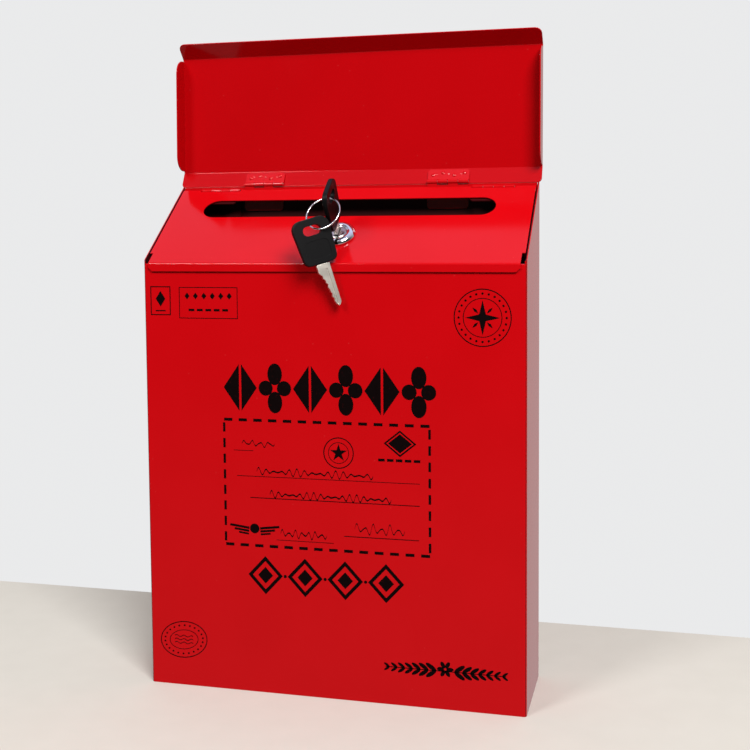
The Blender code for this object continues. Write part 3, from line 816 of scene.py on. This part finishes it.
# ---- lock and keys
@dataclass
class CamLock:
    """Chrome lock body with its turning core, nut, cam and screw."""

    finishes: Finishes
    bore: float = 5.1 * MM
    barrel: float = 8.0 * MM
    bezel: float = 10.0 * MM
    rounds: int = 96

    def profile(self) -> list[tuple[float, float]]:
        """Radius and height of the lock body's section, from the bore's foot round the outside.

        Returns:
            The corners of the section.
        """
        end, gap, top = -19.0 * MM, 0.3 * MM, 3.0 * MM
        rim = self.bezel
        return [
            (self.bore, end), (self.barrel - 0.4 * MM, end), (self.barrel, end + 0.4 * MM),
            (self.barrel, gap), (rim - 0.15 * MM, gap), (rim, gap + 0.15 * MM),
            (rim, gap + 0.75 * MM), (rim - 0.10 * MM, gap + 1.05 * MM),
            (rim - 0.55 * MM, gap + 1.75 * MM), (rim - 1.25 * MM, top - 0.28 * MM),
            (rim - 2.05 * MM, top - 0.05 * MM), (rim - 2.70 * MM, top),
            (self.bore + 1.15 * MM, top - 0.02 * MM), (self.bore + 0.95 * MM, top - 0.16 * MM),
            (self.bore + 0.80 * MM, top - 0.50 * MM), (self.bore + 0.30 * MM, top - 0.62 * MM),
            (self.bore, top - 0.95 * MM),
        ]

    def body(self) -> Piece:
        """Turns the lock body: a circle drawn out step by step along its section.

        Returns:
            The lock body.
        """
        profile = self.profile()
        first = profile[0]
        piece = Bench.start(
            bpy.ops.mesh.primitive_circle_add, vertices=self.rounds, radius=first[0],
            fill_type="NOTHING", location=(0.0, 0.0, first[1]),
        )

        def draw() -> None:
            """Extrudes the open rim from each point of the section to the next."""
            radius, height = first
            for new_radius, new_height in [*profile[1:], first]:
                lift = (0.0, 0.0, new_height - height)
                bpy.ops.mesh.extrude_region_move(TRANSFORM_OT_translate={"value": lift})
                scale = new_radius / radius
                bpy.ops.transform.resize(
                    value=(scale, scale, 1.0), center_override=(0.0, 0.0, new_height)
                )
                radius, height = new_radius, new_height

        Bench.edit(piece, draw)
        Bench.outward(piece)
        at, out = joint_line("lock_turn")
        piece.data.transform(frame_of(ACROSS, out.cross(ACROSS), out, at))
        piece.name = piece.data.name = "lock_bezel"
        Bench.smooth(piece, 38.0)
        return piece

    def build(self) -> None:
        """Makes the lock body and core, and dresses the hidden pieces."""
        finish_piece(self.body(), self.finishes.chrome, "door", "chrome", "lock_housing")
        core = eased_copy("lock_plug", "lock_core_face", 0.12 * MM)
        finish_piece(core, self.finishes.plug, "lock_core", "plug_nickel", "lock_plug")
        for node in ("lock_nut", "lock_cam", "cam_screw"):
            dress(node, self.finishes.zinc)


@dataclass
class KeyBunch:
    """The key in the lock, the spare key and the split ring."""

    finishes: Finishes
    sunk: float = 0.30 * MM
    field: tuple[float, float] = (7.2 * MM, 4.9 * MM)
    field_down: float = 4.6 * MM
    field_round: float = 0.45
    head_edge: float = 0.16 * MM
    blade_edge: float = 0.10 * MM
    wire: tuple[float, float] = (0.43 * MM, 0.26 * MM)
    turns: int = 2
    lap: float = 0.985
    ring_start: float = 0.6
    ring_inset: float = 0.60 * MM
    steel: float = 1.9 * MM
    blade_long: float = 24.0 * MM
    tang: Point = (5.8 * MM, 5.6 * MM, 1.1 * MM)
    milled: float = 0.45 * MM
    groove: tuple[float, float, float] = (0.9, 1.9, -2.6)
    outline: tuple[tuple[float, float], ...] = (
        (3.8, 0.0), (-3.8, 0.0), (-3.8, -4.4), (-3.2, -5.2), (-2.2, -6.3), (-2.4, -7.6),
        (-1.2, -8.9), (-1.3, -10.2), (-0.5, -11.3), (-1.1, -12.9), (-0.4, -14.1), (-0.5, -15.3),
        (0.2, -16.5), (-0.3, -18.0), (0.5, -19.2), (0.3, -20.6), (0.9, -22.4), (1.9, -23.6),
        (2.7, -23.5), (3.8, -21.8),
    )

    def axes(self, blade: str, head: str) -> tuple[Vector, Vector, Vector]:
        """The axes of a key, read from its CAD nodes.

        Args:
            blade: The blade's node.
            head: The head's node.

        Returns:
            Across the blade towards its straight back, along it towards the head, and through it.
        """
        points = np.array([vert.co for vert in frame["nodes"][blade].data.vertices], float)
        mean = points.mean(0)
        _, ways = np.linalg.eigh(np.cov((points - mean).T))
        wide, long = Vector(ways[:, 1]), Vector(ways[:, 2])
        low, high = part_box(head)
        if ((low + high) / 2 - Vector(mean)).dot(long) < 0.0:
            long.negate()
        across = points @ np.array(wide)
        if across.mean() > (across.min() + across.max()) / 2:
            wide.negate()
        return wide, long, wide.cross(long)

    def head(self, prefix: str) -> Piece:
        """A moulded key head with a shallow field pressed into both sides.

        Args:
            prefix: Start of the key's names.

        Returns:
            The piece.
        """
        node = f"{prefix}key_bow"
        wide, long, thin = axes = self.axes(f"{prefix}key_blade", node)

        def press(piece: Piece) -> None:
            """Cuts the two fields.

            Args:
                piece: The head.
            """
            points = [vert.co for vert in piece.data.vertices]
            spans = [span(points, axis) for axis in axes]
            centre = sum((axis * sum(ends) / 2 for axis, ends in zip(axes, spans)), Vector())
            half = (spans[2][1] - spans[2][0]) / 2
            for side in (-1, 1):
                at = centre - long * self.field_down + thin * side * half
                cutter = Bench.start(
                    bpy.ops.mesh.primitive_cylinder_add, vertices=48, radius=1.0, depth=2.0
                )
                for vert in cutter.data.vertices:
                    for axis in (0, 1):
                        part = vert.co[axis]
                        swell = math.copysign(abs(part) ** self.field_round, part)
                        vert.co[axis] = swell * self.field[axis]
                    vert.co.z *= self.sunk
                cutter.data.transform(frame_of(wide, long, thin, at))
                Bench.modify(
                    piece, "BOOLEAN", operation="DIFFERENCE", solver="EXACT", object=cutter
                )
                bpy.data.objects.remove(cutter)

        return eased_copy(node, f"{prefix}key_head", self.head_edge, press)

    def blade(self, prefix: str) -> Piece:
        """A flat steel blade: wide neck, cut edge, straight back and a milled groove on both sides.

        Args:
            prefix: Start of the key's names.

        Returns:
            The piece.
        """
        node = f"{prefix}key_blade"
        wide, long, thin = self.axes(node, f"{prefix}key_bow")
        points = [vert.co for vert in frame["nodes"][node].data.vertices]
        foot, _ = span(points, long)
        origin = (
            wide * sum(span(points, wide)) / 2
            + long * (foot + self.blade_long)
            + thin * sum(span(points, thin)) / 2
        )
        piece = Bench.start(
            bpy.ops.mesh.primitive_circle_add, vertices=len(self.outline), radius=10.0,
            fill_type="NGON",
        )
        for vert, (u, v) in zip(piece.data.vertices, self.outline):
            vert.co = Vector((u, v, 0.0)) * MM
        left, right, top = (value * MM for value in self.groove)

        def cut(co: Point, no: Point) -> None:
            """Cuts all faces by a plane, keeping both sides."""
            bpy.ops.mesh.select_all(action="SELECT")
            bpy.ops.mesh.bisect(plane_co=co, plane_no=no)

        Bench.edit(
            piece,
            lambda: cut((left, 0.0, 0.0), (1.0, 0.0, 0.0)),
            lambda: cut((right, 0.0, 0.0), (1.0, 0.0, 0.0)),
            lambda: cut((0.0, top, 0.0), (0.0, 1.0, 0.0)),
            lambda: bpy.ops.mesh.select_all(action="SELECT"),
            Bench.face_out,
        )
        Bench.modify(piece, "SOLIDIFY", thickness=self.steel, offset=0.0)

        def mill() -> None:
            """Presses the groove into both broad faces."""
            Bench.choose(
                piece,
                Pick.FACES,
                lambda face: abs(face.normal.z) > 0.9
                and left < face.calc_center_median().x < right
                and face.calc_center_median().y < top,
            )
            bpy.ops.mesh.inset(thickness=0.08 * MM, depth=-self.milled)

        Bench.edit(piece, Bench.face_out, mill)
        Bench.ease(piece, self.blade_edge, 30.0)
        tang = Bench.start(
            bpy.ops.mesh.primitive_cube_add, self.tang, size=1.0,
            location=(0.0, self.tang[1] / 2 - 0.9 * MM, 0.0),
        )
        piece = Bench.join([tang, piece], f"{prefix}key_steel")
        piece.data.transform(frame_of(wide, long, thin, origin))
        Bench.flatten(piece, 35.0)
        return piece

    def ring(self) -> Piece:
        """The split ring: a wire coiled twice round the line of the CAD ring.

        Returns:
            The ring.
        """
        points = np.array([vert.co for vert in frame["nodes"]["key_ring"].data.vertices], float)
        low, high = points.min(0), points.max(0)
        centre = Vector((low + high) / 2)
        _, ways = np.linalg.eigh(np.cov((points - points.mean(0)).T))
        axis = Vector(ways[:, 0]).normalized()
        reach = max((Vector(point) - centre).length for point in points)
        wide, thick = self.wire
        piece = Bench.start(
            bpy.ops.mesh.primitive_circle_add, (wide, thick, 1.0), vertices=16, radius=1.0,
            fill_type="NGON", location=(reach - self.ring_inset, 0.0, -thick),
            rotation=(math.pi / 2, 0.0, 0.0),
        )
        Bench.edit(piece, lambda: bpy.ops.mesh.delete(type="ONLY_FACE"))
        Bench.modify(
            piece, "SCREW", angle=2 * math.pi * self.turns * self.lap,
            screw_offset=2.0 * thick * (self.turns - 1),
            steps=96, render_steps=96, use_merge_vertices=False, use_smooth_shade=True,
        )
        Bench.edit(
            piece,
            lambda: bpy.ops.mesh.select_all(action="DESELECT"),
            lambda: bpy.ops.mesh.select_non_manifold(),
            lambda: bpy.ops.mesh.edge_face_add(),
        )
        Bench.outward(piece)
        turn = axis.to_track_quat("Z", "Y").to_matrix().to_4x4()
        start = Matrix.Rotation(self.ring_start, 4, "Z")
        piece.data.transform(Matrix.Translation(centre) @ turn @ start)
        piece.name = piece.data.name = "split_ring"
        Bench.smooth(piece, 40.0)
        return piece

    def build(self) -> None:
        """Makes heads, blades and ring."""
        looks = self.finishes
        for prefix, body in (("", "lock_core"), ("spare_", "spare_key")):
            bow, steel = f"{prefix}key_bow", f"{prefix}key_blade"
            finish_piece(self.head(prefix), looks.plastic, body, "key_plastic", bow)
            finish_piece(self.blade(prefix), looks.key, body, "key_nickel", steel)
        finish_piece(self.ring(), self.finishes.ring, "ring", "ring_steel", "key_ring")


# ---- printing
@dataclass
class InkSheet:
    """Flat ink shapes in the plane of the front, x to the right and z up, in millimetres."""

    finishes: Finishes
    film: float = 0.03 * MM
    parts: list[Piece] = field(default_factory=list)

    def add(
        self, add: Callable[..., object], x: float, z: float, wide: float, high: float,
        turn: float = 0.0, line: float = 0.0, **settings: object,
    ) -> Piece:
        """Adds a primitive as the next part.

        Args:
            add: The operator that adds it.
            x: Centre.
            z: Centre.
            wide: Factor on its width.
            high: Factor on its height.
            turn: Turn in degrees.
            line: Width of the line that is left along its edge, or 0 to keep it filled.
            settings: The operator's own settings.

        Returns:
            The part.
        """
        part = Bench.start(
            add, (wide, high, 1.0), location=(x, z, 0.0),
            rotation=(0.0, 0.0, math.radians(turn)), **settings,
        )
        if line:
            Bench.edit(
                part,
                lambda: bpy.ops.mesh.inset(thickness=line, use_even_offset=True),
                lambda: bpy.ops.mesh.delete(type="FACE"),
            )
        self.parts.append(part)
        return part

    def polygon(
        self, x: float, z: float, wide: float, high: float, corners: int = 4, turn: float = 0.0,
        line: float = 0.0,
    ) -> Piece:
        """A polygon or ellipse by its half width and half height, filled or outlined."""
        circle = bpy.ops.mesh.primitive_circle_add
        return self.add(circle, x, z, wide, high, turn, line, vertices=corners, fill_type="NGON")

    def bar(
        self, x: float, z: float, wide: float, high: float, turn: float = 0.0, line: float = 0.0
    ) -> Piece:
        """A bar of full width and height, filled or outlined."""
        plane = bpy.ops.mesh.primitive_plane_add
        return self.add(plane, x, z, wide, high, turn, line, size=1.0)

    def row(self, part: Piece, count: int, step: tuple[float, float]) -> None:
        """Repeats a part along a line, so many in all, one step apart."""
        Bench.modify(
            part, "ARRAY", count=count, use_relative_offset=False, use_constant_offset=True,
            constant_offset_displace=(step[0], step[1], 0.0),
        )

    def split(self, part: Piece, x: float, gap: float) -> None:
        """Cuts a part in two halves with a stencil gap between them.

        Args:
            part: The part.
            x: Middle of the gap.
            gap: Its width.
        """
        Bench.pick(part)
        bpy.ops.object.duplicate()
        other = bpy.context.active_object
        self.parts.append(other)
        for half, sign in ((part, 1.0), (other, -1.0)):
            Bench.edit(
                half,
                lambda s=sign: bpy.ops.mesh.bisect(
                    plane_co=(x + s * gap / 2, 0.0, 0.0), plane_no=(s, 0.0, 0.0), clear_inner=True
                ),
            )

    def star(self, x: float, z: float, outer: float, inner: float, points: int) -> None:
        """A star: a polygon with every other corner drawn in.

        Args:
            x: Centre.
            z: Centre.
            outer: Reach of its points.
            inner: Reach of its inner corners.
            points: How many points.
        """
        part = self.polygon(x, z, outer, outer, points * 2)
        centre = Vector((x, z, 0.0))
        for index, vert in enumerate(part.data.vertices):
            if index % 2:
                vert.co = centre + (vert.co - centre) * (inner / outer)

    def wreath(
        self, x: float, z: float, reach: float, half: tuple[float, float], count: int,
        corners: int = 4, first: float = 0.0,
    ) -> None:
        """Polygons spread evenly round a centre, each pointing outward.

        Args:
            x: Centre.
            z: Centre.
            reach: From the centre to the middle of a polygon.
            half: Half length and half width of a polygon.
            count: How many.
            corners: Corners of a polygon.
            first: Direction of the first one, in degrees.
        """
        for step in range(count):
            turn = first + 360.0 * step / count
            way = math.radians(turn)
            at = (x + reach * math.cos(way), z + reach * math.sin(way))
            self.polygon(*at, *half, corners, turn)

    def wave(
        self, x: float, z: float, long: float, swing: float, count: float, line: float,
        fade: float = 0.0,
    ) -> None:
        """A wavy line.

        Args:
            x: Its left end.
            z: Its middle height.
            long: Length.
            swing: Half height of the wave.
            count: Number of waves.
            line: Width of the line.
            fade: How much the wave grows and shrinks along the line, from 0 to 1.
        """
        part = self.add(
            bpy.ops.mesh.primitive_grid_add, x + long / 2, z, long, line,
            x_subdivisions=int(count * 14), y_subdivisions=1, size=1.0,
        )
        for vert in part.data.vertices:
            along = (vert.co.x - x) / long
            size = swing * (1.0 - fade * math.sin(along * 9.0) ** 2)
            vert.co.y += size * math.sin(2 * math.pi * count * along)

    def press(self, name: str) -> Piece:
        """Joins the parts, gives the ink its thickness and lays it on the front.

        Args:
            name: Name of the piece.

        Returns:
            The finished piece.
        """
        corner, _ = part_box("body_shell")
        whole = Bench.join(self.parts, name)
        self.parts = []
        Bench.edit(
            whole, Bench.face_out, lambda: bpy.ops.mesh.dissolve_degenerate(threshold=1e-4)
        )
        turn = Matrix.Rotation(math.pi / 2, 4, "X")
        whole.data.transform(
            Matrix.Translation((0.0, corner.y - self.film, corner.z)) @ turn @ Matrix.Scale(MM, 4)
        )
        Bench.modify(whole, "SOLIDIFY", thickness=self.film, offset=0.0)
        Bench.edit(whole, Bench.face_out)
        return whole


@dataclass
class FrontPrint(InkSheet):
    """The decoration printed on the front, in shapes that carry no words."""

    def corner_marks(self) -> None:
        """Two framed marks at the top left."""
        self.bar(-97.5, 219.5, 12.1, 16.2, line=0.55)
        self.polygon(-97.5, 220.6, 2.9, 4.4)
        self.bar(-97.5, 213.9, 6.0, 0.7)
        self.bar(-69.0, 218.5, 34.7, 17.5, line=0.40)
        self.row(self.polygon(-81.5, 222.3, 1.5, 1.9), 6, (5.0, 0.0))
        self.row(self.bar(-79.0, 214.5, 3.4, 1.3), 5, (5.0, 0.0))

    def round_mark(self) -> None:
        """The round mark at the top right: rings of dots round a compass star."""
        x, z = 84.3, 212.1
        self.polygon(x, z, 15.3, 15.3, 64, line=0.55)
        self.polygon(x, z, 10.4, 10.4, 64, line=0.40)
        self.wreath(x, z, 12.7, (0.62, 0.62), 24, 10)
        self.star(x, z, 9.2, 2.5, 4)
        self.wreath(x, z, 5.4, (2.2, 0.75), 4, first=45.0)

    def large_row(self) -> None:
        """The bold row: lozenges and four-petal figures, cut like a stencil."""
        z = 171.8
        for step in range(6):
            x = -50.9 + step * 20.2
            if step % 2 == 0:
                self.split(self.polygon(x, z, 9.7, 13.9), x, 1.3)
                continue
            self.wreath(x, z, 5.3, (4.1, 4.2), 2, 28)
            self.wreath(x, z, 7.8, (6.0, 4.2), 2, 28, 90.0)

    def dashed_frame(self) -> None:
        """The dashed frame."""
        low, high, left, right = 83.4, 153.8, -60.7, 55.8
        dash, across, up = 4.9, 14, 8
        step_x = (right - left - dash) / (across - 1)
        step_z = (high - low) / up
        for z in (low, high):
            self.row(self.bar(left + dash / 2, z, dash, 1.65), across, (step_x, 0.0))
        for x in (left, right):
            self.row(self.bar(x, low + step_z / 2, 1.35, 5.2), up, (0.0, step_z))

    def frame_fill(self) -> None:
        """What is inside the dashed frame: ruled lines, waves, a round mark and two emblems."""
        for x, z, long, thick in (
            (-55.2, 136.7, 11.5, 0.30), (-53.5, 122.4, 103.8, 0.32), (-46.0, 110.4, 96.3, 0.42),
            (8.0, 91.6, 41.8, 0.42), (-31.0, 87.3, 33.0, 0.30),
        ):
            self.bar(x + long / 2, z, long, thick)
        for wave in (
            (-50.3, 140.7, 19.0, 1.9, 4.0, 0.70, 0.8), (-41.9, 125.3, 66.5, 2.2, 15.0, 0.82, 0.9),
            (-34.4, 112.7, 69.0, 2.2, 17.0, 0.86, 0.9), (14.1, 96.0, 27.8, 3.4, 6.0, 0.74, 0.8),
            (-28.4, 91.0, 26.5, 2.5, 7.0, 0.84, 0.8),
        ):
            self.wave(*wave)
        x, z = 5.3, 137.4
        self.polygon(x, z, 8.6, 8.6, 48, line=0.55)
        self.polygon(x, z, 5.9, 5.9, 40, line=0.35)
        self.star(x, z, 5.0, 1.9, 5)
        self.polygon(39.6, 143.8, 9.0, 7.2, line=0.9)
        self.polygon(39.6, 143.8, 6.6, 5.2)
        self.row(self.bar(29.3, 134.6, 3.6, 1.5), 5, (4.9, 0.0))
        x, z = -43.6, 93.0
        self.polygon(x, z, 2.8, 2.8, 16)
        for sign in (-1, 1):
            for reach, lift, long, thick in (
                (8.8, 0.9, 11.4, 1.3), (7.6, -1.0, 8.6, 1.2), (6.4, -2.8, 5.8, 1.0)
            ):
                self.bar(x + sign * reach, z + lift, long, thick, sign * 7.0)

    def small_row(self) -> None:
        """The lighter row under the frame: four open lozenges with dots between."""
        z = 66.9
        for step in range(4):
            x = -37.6 + step * 23.0
            self.polygon(x, z, 10.1, 10.8, line=1.9)
            self.polygon(x, z, 4.4, 4.7)
            if step < 3:
                self.polygon(x + 11.5, z, 0.9, 0.9, 20)

    def oval_mark(self) -> None:
        """The tilted oval mark at the bottom left."""
        x, z, turn = -87.3, 26.3, 8.0
        self.polygon(x, z, 14.3, 10.6, 72, turn, 0.50)
        self.polygon(x, z, 8.8, 5.7, 56, turn, 0.35)
        tilt = math.radians(turn)
        for step in range(22):
            way = 2 * math.pi * step / 22
            u, v = 11.6 * math.cos(way), 8.2 * math.sin(way)
            self.polygon(
                x + u * math.cos(tilt) - v * math.sin(tilt),
                z + u * math.sin(tilt) + v * math.cos(tilt),
                0.55, 0.55, 10,
            )
        for lift in (-2.0, 0.0, 2.0):
            self.wave(x - 5.6, z + lift, 11.2, 0.45, 2.5, 0.42)

    def leaf_spray(self) -> None:
        """The leaf spray at the bottom right."""
        x, z = 63.8, 21.0
        self.bar(x, z, 66.0, 0.45)
        for sign in (-1, 1):
            for step in range(7):
                at = x + sign * (5.0 + step * 4.3)
                size = 3.4 - step * 0.26
                for lean in (-34.0, 34.0):
                    way = lean if sign > 0 else 180.0 - lean
                    self.wreath(at, z, size, (size, size * 0.36), 1, 14, way)
        self.wreath(x, z + 1.2, 2.6, (2.0, 1.1), 6, 16)

    def build(self) -> None:
        """Prints every mark on the front."""
        for mark in (
            self.corner_marks, self.round_mark, self.large_row, self.dashed_frame,
            self.frame_fill, self.small_row, self.oval_mark, self.leaf_spray,
        ):
            mark()
            piece = self.press(f"print_{mark.__name__}")
            finish_piece(piece, self.finishes.ink, "box", "red_paint")


# ---- studio
@dataclass
class Studio:
    """Floor, light and camera."""

    eye: Point = (0.17877, -0.65826, 0.13157)
    turn: float = 14.242
    dip: float = 3.939
    roll: float = -0.450
    lens: float = 55.789
    shift: float = -0.0950
    backdrop: Colour = (0.822, 0.826, 0.832)
    floor_back: float = 0.092
    floor_size: float = 1.5

    def floor(self) -> None:
        """A wide pale floor with a faint mottling."""
        low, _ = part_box("body_shell")
        floor = Bench.start(
            bpy.ops.mesh.primitive_plane_add, (self.floor_size * 1.6, self.floor_size, 1.0),
            size=1.0, location=(0.0, self.floor_back - self.floor_size / 2, low.z - 0.1 * MM),
        )
        floor.name = "studio_floor"
        made, graph = blank("pale_floor")
        colour = graph.mix(graph.noise(60.0, 4.0), (0.71, 0.68, 0.625), (0.67, 0.64, 0.585))
        graph.principled(
            Base_Color=colour, Roughness=0.85, Normal=graph.bump(graph.noise(900.0, 3.0), 20e-6),
            Specular_IOR_Level=0.15,
        )
        floor.data.materials.append(made)
        floor.visible_glossy = False
        floor.visible_diffuse = False

    def world(self) -> None:
        """A pale backdrop, and soft light that comes from above and behind."""
        world = bpy.data.worlds.new("studio_world")
        bpy.context.scene.world = world
        world.use_nodes = True
        graph = Graph(world.node_tree)
        _, y, z = graph.split(graph.node("ShaderNodeTexCoord", output="Generated"))
        back = y.ramp(-0.35, 0.75)
        up = z.ramp(0.25, 0.95)
        down = (0.0 - z).ramp(0.05, 0.40)
        light = 0.05 + back * 0.48 + up * 0.46 + down * 0.26 * (1.0 - back)
        matt = graph.node("ShaderNodeLightPath", output="Is Diffuse Ray")
        tint = graph.mix(up * (1.0 - matt), (1.0, 0.985, 0.97), (0.88, 0.88, 1.22))
        soft = graph.node(
            "ShaderNodeBackground",
            inputs={"Color": tint, "Strength": light * (1.0 - matt * 0.35)},
        )
        seen = graph.node(
            "ShaderNodeBackground", inputs={"Color": (*self.backdrop, 1.0), "Strength": 1.0}
        )
        direct = graph.node("ShaderNodeLightPath", output="Is Camera Ray")
        both = graph.node("ShaderNodeMixShader", inputs={0: direct, 1: soft, 2: seen})
        graph.close("ShaderNodeOutputWorld", both)

    def lamp(
        self, name: str, at: Point, aim: Point, size: tuple[float, float], watts: float
    ) -> None:
        """A soft box.

        Args:
            name: Its name.
            at: Where it is.
            aim: What it points at.
            size: Its width and height.
            watts: Power.
        """
        data = bpy.data.lights.new(name, "AREA")
        data.shape = "RECTANGLE"
        data.size, data.size_y = size
        data.energy = watts
        lamp = bpy.data.objects.new(name, data)
        lamp.location = at
        lamp.rotation_euler = (Vector(aim) - Vector(at)).to_track_quat("-Z", "Y").to_euler()
        bpy.context.scene.collection.objects.link(lamp)

    def camera(self) -> None:
        """The camera, at the height of the slot and a little to the right."""
        data = bpy.data.cameras.new("studio_camera")
        data.lens = self.lens
        data.sensor_width = 36.0
        data.shift_y = self.shift
        data.clip_start, data.clip_end = 0.01, 50.0
        camera = bpy.data.objects.new("studio_camera", data)
        turn = (
            Matrix.Rotation(math.radians(self.turn), 4, "Z")
            @ Matrix.Rotation(math.radians(90.0 - self.dip), 4, "X")
            @ Matrix.Rotation(math.radians(self.roll), 4, "Z")
        )
        camera.matrix_world = Matrix.Translation(self.eye) @ turn
        bpy.context.scene.collection.objects.link(camera)
        bpy.context.scene.camera = camera

    def build(self) -> None:
        """Sets up the studio."""
        bpy.context.scene.view_settings.view_transform = "Standard"
        self.camera()
        self.floor()
        self.world()
        self.lamp("key_light", (1.06, -1.60, 1.60), (0.0, 0.0, 0.0), (1.0, 1.0), 62.0)
        self.lamp("window_light", (-0.82, -1.48, 1.22), (0.0, 0.0, 0.05), (0.50, 0.6), 14.0)


def main() -> None:
    """Builds everything in order."""
    logging.basicConfig(level=logging.INFO, format="%(name)s: %(message)s")
    finishes = Finishes()
    Studio().build()
    SheetWork(finishes).build()
    HingeWork(finishes).build()
    CamLock(finishes).build()
    KeyBunch(finishes).build()
    FrontPrint(finishes).build()


if __name__ == "__main__":
    main()
